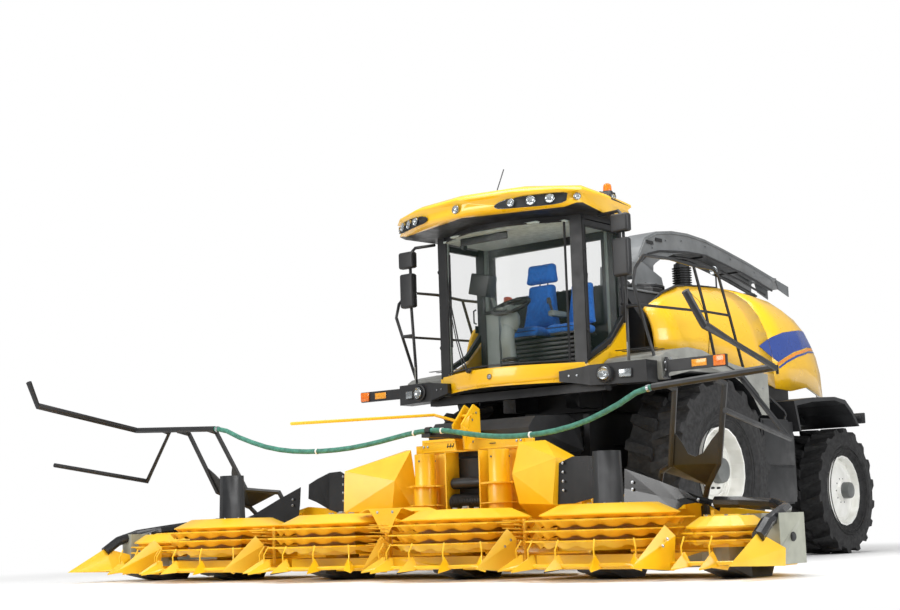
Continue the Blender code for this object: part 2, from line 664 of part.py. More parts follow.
def console(grey):
    floor = CAB_FLOOR_Z + SEAT_GAP
    wheel_centre = Vector((0.02, -1.36, 2.62))
    solids = [box((-0.22, -1.17, floor), (0.64, -0.76, CAB_FLOOR_Z + 0.06 - SEAT_GAP)),
              box((-0.42, -1.20, floor), (-0.27, -0.85, 2.62)),
              box((-0.42, -1.17, floor), (-0.2, -0.80, CAB_FLOOR_Z + 0.05)),
              box((-0.1, -1.45, floor), (0.14, -1.10, CAB_FLOOR_Z + 0.04)),
              pipe([(0.02, -1.40, floor + 0.02), (0.02, -1.44, 2.3), (0.02, -1.37, 2.62)], 0.07, 10)]
    ring = bmesh.new()
    steps = 20
    loops = []
    tilt = Matrix.Rotation(radians(28), 3, "X")
    for i in range(steps):
        angle = 2 * pi * i / steps
        out = Vector((cos(angle), sin(angle), 0))
        loop = []
        for k in range(5):
            turn = 2 * pi * k / 5
            point = out * (0.19 + 0.014 * cos(turn)) + Vector((0, 0, 0.014 * sin(turn)))
            loop.append(ring.verts.new(wheel_centre + tilt @ point))
        loops.append(loop)
    for a, b in zip(loops, loops[1:] + loops[:1]):
        zip_rings(ring, a, b)
    solids.append(ring)
    spoke = box((-0.19, -0.012, -0.01), (0.19, 0.012, 0.01))
    bmesh.ops.rotate(spoke, matrix=tilt, verts=spoke.verts)
    bmesh.ops.translate(spoke, vec=wheel_centre, verts=spoke.verts)
    solids.append(spoke)
    solids.append(hull([(-0.44, -1.32, 2.80), (-0.44, -1.30, 2.99), (-0.27, -1.38, 2.99), (-0.27, -1.40, 2.80),
                        (-0.43, -1.29, 2.80), (-0.43, -1.27, 2.99), (-0.26, -1.35, 2.99), (-0.26, -1.37, 2.80)]))
    solids.append(pipe([(-0.345, -1.05, 2.5), (-0.345, -1.2, 2.8), (-0.345, -1.33, 2.88)], 0.015, 6))
    return fused(solids, "console", grey)


# Platforms, lamps and rails


def platform(black):
    """Front fender, walkway, railing, grab loops and mirrors, one piece on each side."""
    tyre_clear = FRONT_TYRE_RADIUS + 0.06
    under = []
    for step in range(7):
        angle = radians(36 + step * 13)
        under.append((tyre_clear * cos(angle), FRONT_TYRE_RADIUS + tyre_clear * sin(angle)))
    outline = [(-1.12 + SEAT_GAP, 1.99), (-1.05, 2.03), (-0.92, 2.06), (-0.63, 2.11), (-0.35, 2.10), (-0.14, 2.05),
               (0.30, 1.99), (0.62, 1.96), (0.97, 1.93), (0.97, 1.50)] + under[:-1] + [(-0.6, 1.88), (-1.12 + SEAT_GAP, 1.78)]
    rail = 0.017
    for side_name, side in SIDES:
        solids = [prism(0, outline, CAB_HALF_WIDTH + 0.02, 1.60)]
        deck = 2.0
        solids.append(pipe([(1.5, -1.08, deck), (1.5, -1.30, 2.48), (1.5, -1.39, 2.68), (1.5, -1.34, 2.83),
                            (1.5, -1.18, 2.97), (1.5, -0.70, 2.99), (1.5, -0.26, 2.97), (1.5, 0.13, 2.98),
                            (1.5, 0.23, 2.91), (1.5, 0.41, 2.52), (1.5, 0.66, 1.93)], rail, 6))
        solids.append(pipe([(1.5, -0.26, 2.97), (1.5, -0.07, 2.52), (1.5, 0.08, deck)], rail, 6))
        solids.append(pipe([(1.5, -1.30, 2.48), (1.5, -0.07, 2.52), (1.5, 0.41, 2.52)], rail * 0.8, 6))
        front = [(1.34, -1.28, 1.965), (1.34, -1.28, 2.14), (1.36, -1.30, 2.76), (1.36, -1.30, 3.36), (1.30, -1.28, 3.42),
                 (1.05, -1.25, 3.42)]
        solids.append(pipe(front, rail, 6))
        solids.append(pipe([(1.355, -1.30, 2.48), (1.5, -1.30, 2.48)], rail, 6))
        foot_x, foot_y = INDICATOR_HINGE
        solids.append(box((1.55, foot_y - 0.03, INDICATOR_FOOT_Z - 0.03), (foot_x + 0.02, foot_y + 0.03, INDICATOR_FOOT_Z)))
        for low, high, half in ((2.776, 3.133, 0.09), (3.20, 3.37, 0.10)):
            solids.append(box((1.36 - half, -1.38, low), (1.36 + half, -1.305, high)))
        for bm in solids:
            mirrored(bm, side)
        fused(solids, f"platform_{side_name}", black)


def light_bar(black):
    """A beam under the cab's nose, with a lamp box at each end."""
    solids = [box((-1.10, -1.34, 1.70), (1.10, -1.24, 1.785))]
    for _, side in SIDES:
        # x, front y, back y, low z, high z
        stations = ((0.70, -1.535, -1.475, 1.80, 1.90), (CAB_HALF_WIDTH + 0.02, -1.47, -1.39, 1.76, 1.93),
                    (CAB_HALF_WIDTH + 0.07, -1.46, -1.22, 1.745, 1.94), (1.55, -1.31, -1.12, 1.745, 1.955))
        sections = [[(side * x, y0, z0), (side * x, y1, z0), (side * x, y1, z1), (side * x, y0, z1)]
                    for x, y0, y1, z0, z1 in stations]
        solids.append(loft(sections))
        lamp = turned(((0.085, 0.0, 16), (0.085, 0.09, 16)), (0, 0, 0), "y")
        bmesh.ops.translate(lamp, vec=(side * 1.16, -1.445, 1.845), verts=lamp.verts)
        solids.append(lamp)
    return fused(solids, "light_bar", black)


def indicator_arms(black):
    """Lamp arms on the fenders' front corners, which fold back on upright pins."""
    hinge_x, hinge_y = INDICATOR_HINGE
    low, high = 1.84, 1.95
    for side_name, side in SIDES:
        arm = hull([(side * x, y + d, z) for x, y in ((hinge_x + 0.01, -1.10), (2.29, -1.12)) for d in (0.0, 0.04)
                    for z in (low, high)])
        hinge = turned(((0.018, INDICATOR_FOOT_Z + SEAT_GAP, 8), (0.018, 1.98, 8)), (side * hinge_x, hinge_y, 0))
        fused([arm, hinge], f"indicator_{side_name}", black, (side * hinge_x, hinge_y, 1.89))


# Spout


def turret(grey):
    solids = [turned(((0.33, TURRET_Z, 20), (0.33, TURRET_Z + 0.05, 20)), (0, TURRET_Y, 0))]
    for _, side in SIDES:
        cheek = prism(0, [(0.62, TURRET_Z + 0.02), (1.25, TURRET_Z + 0.02), (1.2, TURRET_Z + 0.16),
                          (0.80, TURRET_Z + 0.30), (0.64, TURRET_Z + 0.28)],
                      TURRET_CHEEK_X, TURRET_CHEEK_X + 0.025)
        solids.append(mirrored(cheek, side))
    return fused(solids, "turret", grey)


def spout(grey):
    """A three-sided duct, open below, that sweeps up and back."""
    # y and z of the roof line, depth of the duct
    line = ((0.78, 3.12, 0.30), (0.80, 3.40, 0.32), (0.95, 3.60, 0.34), (1.20, 3.70, 0.32), (1.55, 3.75, 0.27),
            (1.90, 3.765, 0.23), (2.30, 3.745, 0.20), (2.75, 3.68, 0.19), (3.30, 3.59, 0.18), (3.98, 3.46, 0.17))
    wall = 0.02
    half = 0.19
    points = [Vector((0, y, z)) for y, z, _ in line]
    sections = []
    for i, (point, (_, _, d)) in enumerate(zip(points, line)):
        ahead = points[min(i + 1, len(points) - 1)] - points[max(i - 1, 0)]
        normal = Vector((0, ahead.z, -ahead.y)).normalized()
        w = half - 0.03 * i / (len(points) - 1)
        corners = ((-w, d), (-w, 0), (w, 0), (w, d), (w - wall, d), (w - wall, wall), (-w + wall, wall), (-w + wall, d))
        sections.append([point + Vector((x, 0, 0)) + normal * e for x, e in corners])
    y, z = FLAP_HINGE
    ears = [mirrored(box((0.1605, 3.90, z - 0.015), (0.175, y + 0.015, z + 0.012)), side) for _, side in SIDES]
    links = [mirrored(box((0.14, 3.90, z - 0.015), (0.175, 3.94, z + 0.012)), side) for _, side in SIDES]
    y, z = SPOUT_PIVOT
    lugs = [mirrored(box((half - wall, y - 0.04, z - 0.04), (TURRET_CHEEK_X - SEAT_GAP, y + 0.14, z + 0.04)), side)
            for _, side in SIDES]
    return fused([loft(sections)] + ears + links + lugs, "spout", grey, (0, y, z))


def spout_flap(grey):
    """A channel on a pin at the spout's end, which tips down to shorten the throw."""
    y, z = FLAP_HINGE
    roof = prism(0, [(y, z + 0.01), (SPOUT_END_Y, z - 0.06), (SPOUT_END_Y, z - 0.075), (y, z - 0.01)], -0.155, 0.155)
    pin = turned(((0.011, -0.1602, 8), (0.011, 0.1602, 8)), (0, y, z), "x")
    cheeks = [mirrored(prism(0, [(y + 0.03, z), (SPOUT_END_Y, z - 0.07), (SPOUT_END_Y, z - 0.19), (y + 0.10, z - 0.12)],
                             0.143, 0.155), side) for _, side in SIDES]
    return fused([roof, pin] + cheeks, "spout_flap", grey, (0, y, z))


# Feeder house and lift


def feeder_house(black):
    y, z = LIFT_PIVOT
    front = HEADER_BACK_Y + SEAT_GAP
    body = hull([(x, py, pz) for x in (-FEEDER_HALF, FEEDER_HALF) for py, pz in (
        (front, 0.42), (front, 1.10), (-1.2, 1.24), (y, z + 0.07), (y + 0.06, z - 0.04), (-1.05, 0.80))])
    cover = prism(0, [(-1.93, 1.12), (-1.95, 1.36), (-1.84, 1.47), (-1.3, 1.50), (-1.12, 1.42), (-1.05, 1.15)],
                  -0.62, 0.62)
    boss = turned(((0.07, -FEEDER_HALF - 0.04, 12), (0.07, FEEDER_HALF + 0.04, 12)), (0, y, z), "x")
    y, z = ROD_PIN
    lugs = [box((side * 0.29 - 0.015, y - 0.05, z - 0.05), (side * 0.29 + 0.015, y + 0.05, 0.85)) for _, side in SIDES]
    return fused([body, cover, boss] + lugs, "feeder_house", black, (0, *LIFT_PIVOT))


def lift_cylinders(black, chrome):
    """Two cylinders on one cross shaft; the rods' eyes meet the feeder house below."""
    a = Vector((0, *BARREL_PIN))
    b = Vector((0, *ROD_PIN))
    along = (b - a).normalized()
    barrel_reach = RAIL_X - 0.03 - SEAT_GAP
    rod_reach = 0.275 - SEAT_GAP
    barrels = [turned(((0.028, -barrel_reach, 10), (0.028, barrel_reach, 10)), a, "x")]
    rods = [turned(((0.03, -rod_reach, 10), (0.03, rod_reach, 10)), b, "x")]
    bores = []
    for _, side in SIDES:
        foot = a + Vector((side * 0.15, 0, 0))
        eye = b + Vector((side * 0.15, 0, 0))
        barrels.append(pipe([foot, foot + along * 0.84], 0.055, 12))
        bores.append(pipe([foot + along * 0.24, foot + along * 0.9], 0.031, 12))
        rods.append(pipe([foot + along * 0.32, eye], 0.03, 12))
    fused(barrels, "lift_barrels", black, a, cuts=bores)
    fused(rods, "lift_rods", chrome, b)


# Header


def drum(name, centre, top, bottom, radius, teeth, discs, material, cover=0.82, post=False):
    """A crop drum: a cover plate over toothed discs on a hub, all one solid."""
    hub = radius * 0.62
    plate = radius * cover
    rings = [(0.118, POST_TOP_Z, 8), (0.128, top + 0.001, 8)] if post else []
    rings += [(radius * 0.58, top, 20), (plate, top - 0.075, 20), (plate, top - 0.09, 20), (hub, top - 0.09, 12)]
    low = bottom + 0.02
    pitch = (top - 0.10 - low) / discs
    for k in range(discs):
        z = top - 0.115 - pitch * k
        rings += [(hub, z, 12), (radius, z - 0.004, 2 * teeth, radius * 0.09),
                  (radius, z - 0.016, 2 * teeth, radius * 0.09), (hub, z - 0.020, 12)]
    rings.append((hub, bottom, 12))
    bm = turned(rings)
    bmesh.ops.translate(bm, vec=(centre[0], centre[1], 0), verts=bm.verts)
    return placed(bm, name, material, (centre[0], centre[1], bottom))


def drums(yellow):
    for side_name, side in SIDES:
        for place, x in (("inner", DRUM_PITCH / 2), ("outer", DRUM_PITCH * 1.5)):
            drum(f"drum_{place}_{side_name}", (side * x, DRUM_Y), DRUM_TOP_Z, DRUM_BOTTOM_Z, DRUM_TIP_RADIUS, 20, 3,
                 yellow, post=place == "outer")
        drum(f"drum_end_{side_name}", (side * END_DRUM[0], END_DRUM[1]), END_DRUM_TOP_Z, DRUM_BOTTOM_Z,
             END_DRUM_RADIUS, 14, 2, yellow, 0.9)
        x, y = FEED_DRUM
        rings = [(0.10, FEED_DRUM_Z[0], 8)]
        for z in (0.62, 0.80, 0.98):
            rings += [(0.10, z, 8), (0.17, z + 0.002, 16, 0.025), (0.17, z + 0.028, 16, 0.025), (0.10, z + 0.03, 8)]
        rings += [(0.10, FEED_DRUM_Z[1] - 0.06, 8), (0.13, FEED_DRUM_Z[1] - 0.05, 14), (0.13, FEED_DRUM_Z[1], 14)]
        bm = turned(rings)
        bmesh.ops.translate(bm, vec=(side * x, y, 0), verts=bm.verts)
        placed(bm, f"feed_drum_{side_name}", yellow, (side * x, y, FEED_DRUM_Z[0]))


def snout(x, tip_y, back_y, half, height, low=0.10):
    """A folded-plate crop divider: a ridge that falls to a pointed tip."""
    return hull([(x, tip_y, low + 0.01), (x, tip_y + 0.02, low + 0.035),
                 (x - half, back_y, low - 0.03), (x + half, back_y, low - 0.03),
                 (x, back_y - 0.02, height), (x - half, back_y + 0.04, height * 0.8),
                 (x + half, back_y + 0.04, height * 0.8)])


def small_divider(centre, angle, reach=0.19):
    """A folded plate on the guard bar, with the thin rod that leads a stalk over it."""
    out = Vector((cos(angle), sin(angle), 0))
    across = Vector((-out.y, out.x, 0))
    foot = Vector((*centre, GUARD_Z)) + out * GUARD_RADIUS
    tip = foot + out * reach + Vector((0, 0, -0.045))
    back = foot - out * 0.02
    up = Vector((0, 0, 1))
    plate = hull([tip, tip + up * 0.012, back + across * 0.055 - up * 0.02, back - across * 0.055 - up * 0.02,
                  back + up * 0.085, back + out * 0.02 + up * 0.088])
    rod = pipe([foot + out * 0.03 + up * 0.05, foot + out * 0.035 + up * 0.125, foot - out * 0.012 + up * 0.20], 0.007, 5)
    return [plate, rod]


def guard(centre, low, high, ends):
    """The round bar that runs in scallops along a drum's front, with its small dividers."""
    scallops = range(-150, -29, 12)
    places = [(low, 0)] + [(angle, 0.024 * (i % 2) - 0.012) for i, angle in enumerate(scallops)] + [(high, 0)]
    points = []
    for angle, wave in places:
        reach = GUARD_RADIUS + wave
        points.append((centre[0] + reach * cos(radians(angle)), centre[1] + reach * sin(radians(angle)), GUARD_Z))
    solids = [pipe([ends[0]] + points + [ends[1]], 0.016, 6)]
    for angle in scallops[1::2]:
        solids += small_divider(centre, radians(angle))
    return solids


def middle_cover():
    """The folded plate over the gap between the two inner drums, with its front tab and post."""
    y0, y1 = -3.31, -2.96
    outline = [(-0.32, 0.604), (-0.225, 0.634), (0.225, 0.634), (0.32, 0.604), (0.318, 0.598), (0.223, 0.627),
               (-0.223, 0.627), (-0.318, 0.598)]
    tab = prism(1, [(-0.20, 0.630), (0.20, 0.630), (0.13, 0.55), (0.04, 0.41), (-0.04, 0.41), (-0.13, 0.55)],
                y0, y0 + 0.007)
    post = pipe([(0, y0 + 0.03, 0.13), (0, y0 + 0.03, 0.45), (0, y0 + 0.025, 0.60)], 0.028, 8)
    return [prism(1, outline, y0, y1), tab, post]


def skid(x):
    return hull([(x + sx * w, y, z) for sx in (-1, 1) for w, y, z in (
        (0.13, -2.80, 0.002), (0.13, -3.10, 0.002), (0.10, -3.42, 0.07), (0.13, -2.74, 0.09), (0.12, -3.42, 0.10))])


def drum_seat(x, y=DRUM_Y, r=0.16):
    return turned(((r, BEAM_Z[0], 12), (r, DRUM_BOTTOM_Z - SEAT_GAP, 12)), (x, y, 0))


def header_frame(yellow):
    half = DRUM_PITCH - 0.06
    solids = [prism(2, [(-half, -2.22), (-half, -2.62), (-1.2, -3.3), (1.2, -3.3), (half, -2.62), (half, -2.22)],
                    BEAM_Z[0], BEAM_Z[1])]
    back = HEADER_BACK_Y
    for _, side in SIDES:
        solids.append(mirrored(box((0.42, back - 0.04, 0.12), (half - 0.002, back - 0.001, 0.60)), side))
        solids.append(mirrored(box((0.423, back - 0.035, 0.5), (0.72, back - 0.002, 1.25)), side))
    solids.append(box((-half, -2.25, 0.09), (half, back, 0.30)))
    solids.append(box((-0.62, back - 0.06, 1.165), (0.62, back, 1.30)))
    for _, side in SIDES:
        x = side * DRUM_PITCH / 2
        solids += [drum_seat(x), skid(x)]
        solids.append(snout(side * DRUM_PITCH, -3.89, -3.46, 0.05, 0.425))
        solids.append(box((side * DRUM_PITCH - 0.03, -3.55, 0.09), (side * DRUM_PITCH + 0.03, -2.30, 0.15)))
        solids.append(box((min(side * 1.3, side * 1.53), -2.60, 0.09), (max(side * 1.3, side * 1.53), -2.30, 0.15)))
        pyramid = hull([(side * px, py, pz) for px, py, pz in (
            (0.719, -2.362, 0.912), (1.290, -2.462, 1.028), (1.268, -2.51, 0.619), (0.775, -2.345, 0.641),
            (0.665, -2.17, 1.21), (0.86, -2.02, 1.22), (1.29, -2.02, 1.0), (1.28, -2.02, 0.5), (0.68, -2.02, 0.5))])
        solids.append(pyramid)
        # x, y, lower and upper z of the black sheet beside the pyramid
        sheet = ((1.24, -2.44, 0.62, 0.96), (1.42, -2.40, 0.62, 1.035), (1.60, -2.37, 0.66, 1.03),
                 (1.78, -2.365, 0.74, 0.975), (1.90, -2.365, 0.78, 0.925))
        solids.append(mirrored(shell([[(px, py, low), (px, py + 0.01, high)] for px, py, low, high in sheet], 0.006),
                               side))
        ends = ((0.01, DRUM_Y, GUARD_Z), (DRUM_PITCH - 0.01, DRUM_Y, GUARD_Z))
        for bm in guard((DRUM_PITCH / 2, DRUM_Y), -172, -8, ends):
            solids.append(mirrored(bm, side))
        ear = turned(((0.045, -2.20, 10), (0.045, -2.12, 10)), (0, 0, 0), "y")
        bmesh.ops.translate(ear, vec=(side * (FOLD_HINGE[0] - 0.0), 0, FOLD_HINGE[1]), verts=ear.verts)
        solids.append(ear)
        solids.append(mirrored(box((1.36, -2.195, 0.45), (1.50, -2.01, 0.66)), side))
        solids.append(turned(((0.07, 0.15, 10), (0.07, FEED_DRUM_Z[0] - SEAT_GAP, 10)), (side * FEED_DRUM[0], FEED_DRUM[1], 0)))
    solids.append(snout(0, -3.62, -3.35, 0.045, 0.40))
    solids.append(box((-0.03, -3.42, 0.09), (0.03, -2.3, 0.15)))
    solids += middle_cover()
    hook = [(-2.26, 1.41), (-2.07, 1.61), (-1.98, 1.57), (-1.97, 1.175), (-2.22, 1.175)]
    for _, side in SIDES:
        solids.append(mirrored(prism(0, hook, 0.045, 0.062), side))
    for y, z in ((-2.12, 1.50), (-2.18, 1.36)):
        solids.append(turned(((0.016, -0.075, 8), (0.016, 0.075, 8)), (0, y, z), "x"))
    solids.append(pipe([(-0.05, -2.2, 1.45), (-0.15, -2.41, 1.51), (-0.15, -4.31, 1.37)], 0.014, 6))
    solids.append(box((-0.05, -2.72, 1.28), (0.05, -2.15, 1.315)))
    return fused(solids, "header_frame", yellow)


def wing_shield():
    """The formed sheet in front of the crop guide's feet, with the arch over the end drum."""
    # x, upper and lower z
    stations = ((1.97, 0.90, 0.56), (2.30, 0.785, 0.53), (2.48, 0.715, 0.52), (2.56, 0.685, 0.575),
                (2.68, 0.64, 0.588), (2.80, 0.61, 0.565), (2.90, 0.595, 0.51))
    rows = [[(x, -2.405, high), (x, -2.42, (high + low) / 2), (x, -2.45, low)] for x, high, low in stations]
    ribs = [box((x, -2.41, low), (x + 0.02, -2.22, low + 0.06)) for x, low in ((2.12, 0.58), (2.44, 0.54))]
    return [shell(rows, 0.006)] + ribs


def end_cheek():
    """The sheet and tube that lead round the end drum to the outermost divider."""
    cheek = prism(2, [(3.685, -3.2), (3.83, -3.2), (3.83, -2.80), (3.62, -2.48), (3.30, -2.30), (2.90, -2.22),
                      (2.90, -2.32), (3.22, -2.42), (3.52, -2.62), (3.685, -2.86)], 0.10, 0.48)
    tube = pipe([(2.86, -2.43, 0.585), (3.10, -2.44, 0.575), (3.45, -2.56, 0.55), (3.68, -2.80, 0.51),
                 (3.76, -3.06, 0.475), (3.78, -3.30, 0.41), (3.79, -3.46, 0.31)], 0.05, 8)
    divider = hull([(3.796, -3.924, 0.115), (3.79, -3.456, 0.345), (3.86, -3.18, 0.22), (3.69, -3.42, 0.11),
                    (3.86, -3.20, 0.09), (3.69, -3.16, 0.09), (3.70, -3.16, 0.26)])
    stay = box((3.60, -3.15, 0.09), (3.80, -2.9, 0.15))
    return [cheek, tube, divider, stay]


def wing(yellow):
    """Outer part of the header, hinged to the middle: drum carrier, walls, skid and dividers."""
    x0 = DRUM_PITCH + 0.07
    drum_x, end_x = DRUM_PITCH * 1.5, END_DRUM[0]
    gap_x = DRUM_PITCH * 2
    for side_name, side in SIDES:
        tray = [(x0, -2.24), (x0, -3.20), (1.75, -3.42), (2.75, -3.42), (3.1, -3.1), (3.66, -3.1), (3.66, -2.62),
                (3.3, -2.24)]
        wall = [(x0, 0.10), (3.3, 0.10), (3.3, 0.48), (2.60, 0.58), (2.033, 0.70), (x0 + 0.01, 0.66)]
        solids = [prism(2, tray, *BEAM_Z), prism(1, wall, -2.24, -2.20)]
        solids += [drum_seat(drum_x), drum_seat(end_x, END_DRUM[1], 0.12), skid(drum_x), skid(3.40)]
        solids += [snout(gap_x, -3.93, -3.44, 0.055, 0.415), box((gap_x - 0.03, -3.5, 0.09), (gap_x + 0.03, -2.9, 0.15))]
        solids += guard((drum_x, DRUM_Y), -157, -10, ((x0 + 0.04, -3.1, GUARD_Z), (gap_x, DRUM_Y, GUARD_Z)))
        end_bar_y = -3.52
        for x in (3.22, 3.46):
            solids += small_divider((x, end_bar_y + GUARD_RADIUS), radians(-92))
        end_bar = [(gap_x, -3.44, GUARD_Z), (3.20, end_bar_y, GUARD_Z), (3.50, end_bar_y, GUARD_Z), (3.75, -3.40, GUARD_Z)]
        solids.append(pipe(end_bar, 0.016, 6))
        solids += wing_shield() + end_cheek()
        hinge = turned(((0.045, -2.30, 10), (0.045, -2.205, 10)), (0, 0, 0), "y")
        bmesh.ops.translate(hinge, vec=(FOLD_HINGE[0], 0, FOLD_HINGE[1]), verts=hinge.verts)
        solids.append(hinge)
        solids.append(box((FOLD_HINGE[0], -2.28, 0.50), (x0 + 0.12, -2.21, 0.67)))
        for bm in solids:
            mirrored(bm, side)
        fused(solids, f"header_wing_{side_name}", yellow, (side * FOLD_HINGE[0], -2.2, FOLD_HINGE[1]))


# A crop guide's inner and outer support: its top, its knee, and where it goes over the wing's sheet
SUPPORTS = (((2.768, -2.825, 1.50), (2.56, -2.61, 0.90), (2.32, -2.37, 0.86)),
            ((3.218, -2.803, 1.51), (3.01, -2.60, 0.89), (2.76, -2.37, 0.72)))


def guide_plate():
    """The plate between a crop guide's two supports, with its round cut above."""
    (inner_top, inner, inner_low), (outer_top, outer, outer_low) = [[Vector(p) for p in row] for row in SUPPORTS]
    # share of the way across, share of the way up from the knees, or down where negative
    outline = ((0, -1), (1, -1), (1, 0), (1, 0.46), (0.8, 0.30), (0.65, 0.14), (0.5, 0.10), (0.35, 0.14), (0.2, 0.30),
               (0, 0.46), (0, 0))
    bm = bmesh.new()
    sheet = []
    for across, up in outline:
        inner_end, outer_end = (inner_top, outer_top) if up > 0 else (inner_low, outer_low)
        sheet.append(bm.verts.new(inner.lerp(inner_end, abs(up)).lerp(outer.lerp(outer_end, abs(up)), across)))
    bm.faces.new(sheet[:3] + [sheet[10]])
    bm.faces.new(sheet[2:])
    bmesh.ops.triangulate(bm, faces=bm.faces[:])
    bmesh.ops.recalc_face_normals(bm, faces=bm.faces[:])
    bmesh.ops.solidify(bm, geom=bm.faces[:] + bm.edges[:] + bm.verts[:], thickness=0.008)
    return bm


def crop_guides(black):
    """Pipe frames over the wings that lean the tall crop forward."""
    for side_name, side in SIDES:
        guide = pipe([(2.641, -2.958, 1.523), (3.785, -3.037, 1.577), (3.883, -4.233, 1.801), (3.835, -4.3742, 2.03)],
                     0.03, 8)
        lower = pipe([(3.423, -3.010, 1.56), (3.423, -2.901, 1.531), (3.799, -2.893, 1.039), (3.896, -4.016, 1.204)], 0.022, 8)
        wall_y = -2.24 - SEAT_GAP
        supports = []
        for (top, knee, over), foot_x in zip(SUPPORTS, (2.19, 2.66)):
            foot = (foot_x, wall_y - 0.03, 0.52)
            route = [(top[0], -2.96, top[2] + 0.03), top, knee, over, (foot_x + 0.02, -2.295, 0.60), foot]
            supports.append(pipe(route, 0.025, 6))
            supports.append(box((foot_x - 0.03, wall_y - 0.04, 0.44), (foot_x + 0.03, wall_y, 0.56)))
        solids = [guide, lower, guide_plate()] + supports
        for bm in solids:
            mirrored(bm, side)
        fused(solids, f"crop_guide_{side_name}", black, (side * FOLD_HINGE[0], -2.2, FOLD_HINGE[1]))


# x, y, z of the hose's left half, from the middle clip to the end of the left guide pipe
HOSE_ROUTE = ((0.0, -2.67, 1.345), (0.25, -2.69, 1.325), (0.55, -2.73, 1.275), (0.90, -2.78, 1.232), (1.25, -2.83, 1.22),
              (1.60, -2.87, 1.238), (1.95, -2.90, 1.300), (2.30, -2.932, 1.415), (2.47, -2.946, 1.490), (2.6345, -2.9575, 1.5228))
HOSE_RADIUS = 0.024


def hose(green):
    right = [(-x, y, z) for x, y, z in reversed(HOSE_ROUTE[1:])]
    route = [Vector(p) for p in right + list(HOSE_ROUTE)]
    curve = bpy.data.curves.new("hose", "CURVE")
    curve.dimensions = "3D"
    curve.bevel_depth = HOSE_RADIUS
    curve.bevel_resolution = 2
    curve.use_fill_caps = True
    points = []
    for i in range(len(route) - 1):
        p0, p1 = route[max(i - 1, 0)], route[i]
        p2, p3 = route[i + 1], route[min(i + 2, len(route) - 1)]
        for step in range(2):
            t = step / 2
            points.append(0.5 * (2 * p1 + (p2 - p0) * t + (2 * p0 - 5 * p1 + 4 * p2 - p3) * t * t
                                 + (3 * p1 - 3 * p2 + p3 - p0) * t ** 3))
    points.append(route[-1])
    spline = curve.splines.new("POLY")
    spline.points.add(len(points) - 1)
    for spot, point in zip(spline.points, points):
        spot.co = (*point, 1)
    curve.materials.append(green)
    obj = bpy.data.objects.new("hose", curve)
    bpy.context.scene.collection.objects.link(obj)
    return obj


def build():
    for obj in list(bpy.data.objects):
        bpy.data.objects.remove(obj, do_unlink=True)
    yellow = paint("yellow_enamel", "F6B713", 0.35)
    black = paint("black_powder_coat", "1D1E20", 0.5)
    grey = paint("grey_sheet", "5D6062", 0.45)
    white = paint("white_rim_enamel", "E9EAE6", 0.4)
    rubber = paint("tyre_rubber", "1E1E1F", 0.85)
    steel = paint("axle_paint", "2A2B2D", 0.5)
    iron = paint("engine_iron", "3A3B3C", 0.6, 0.6)
    chrome = paint("chromed_rod", "C8CACC", 0.15, 1.0)
    glass = paint("tinted_glass", "C9D6D2", 0.05)
    blue = paint("blue_seat_fabric", "1E5FA8", 0.9)
    interior = paint("interior_grey", "6B7370", 0.6)
    green = paint("green_hose", "2F6B57", 0.5)
    wheels(rubber, white)
    front_axle(steel)
    rear_axle(steel)
    knuckles(steel)
    track_rod(steel)
    frame(black)
    engine(iron)
    inner_body(black)
    side_panels(yellow)
    rear_doors(yellow)
    rear_grille(black)
    rear_fenders(black)
    cab_floor(yellow)
    cab_frame(black)
    cab_roof(yellow)
    windscreen(glass)
    cab_doors(black)
    seats(blue)
    console(interior)
    platform(black)
    light_bar(black)
    indicator_arms(black)
    turret(grey)
    spout(grey)
    spout_flap(grey)
    feeder_house(black)
    lift_cylinders(black, chrome)
    drums(yellow)
    header_frame(yellow)
    wing(yellow)
    crop_guides(black)
    hose(green)


build()
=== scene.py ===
"""Looks of a self-propelled forage harvester with a folding maize header.

Metres, +Z up, forward along -Y, +X to the machine's left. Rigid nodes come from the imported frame;
this script adds finishes, lamps, glazing, fingers, combs, upholstery, the hose, films and trim.
"""

import json
from math import atan2, cos, pi, radians, sin, tau

import bmesh
import bpy
from mathutils import Matrix, Vector
from mathutils.bvhtree import BVHTree

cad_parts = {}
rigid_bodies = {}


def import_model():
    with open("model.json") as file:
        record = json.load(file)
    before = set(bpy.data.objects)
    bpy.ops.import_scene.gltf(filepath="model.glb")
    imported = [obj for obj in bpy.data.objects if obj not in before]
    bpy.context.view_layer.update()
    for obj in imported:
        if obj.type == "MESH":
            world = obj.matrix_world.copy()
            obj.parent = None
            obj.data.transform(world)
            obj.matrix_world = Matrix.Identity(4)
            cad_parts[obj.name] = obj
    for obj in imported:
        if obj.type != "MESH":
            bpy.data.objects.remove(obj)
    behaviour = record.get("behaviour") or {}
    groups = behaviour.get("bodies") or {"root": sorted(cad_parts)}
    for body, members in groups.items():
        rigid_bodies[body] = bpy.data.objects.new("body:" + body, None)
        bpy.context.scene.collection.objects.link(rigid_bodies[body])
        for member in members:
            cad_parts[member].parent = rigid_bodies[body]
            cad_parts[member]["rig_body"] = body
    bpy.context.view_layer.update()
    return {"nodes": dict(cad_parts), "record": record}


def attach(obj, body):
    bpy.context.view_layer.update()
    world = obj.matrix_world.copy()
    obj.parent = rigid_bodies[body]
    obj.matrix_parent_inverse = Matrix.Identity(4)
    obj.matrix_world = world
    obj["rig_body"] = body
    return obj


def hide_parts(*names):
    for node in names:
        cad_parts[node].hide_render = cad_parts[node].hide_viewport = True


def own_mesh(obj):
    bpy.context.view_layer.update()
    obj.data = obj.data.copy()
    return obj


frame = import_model()
SIDES = (("left", 1), ("right", -1))

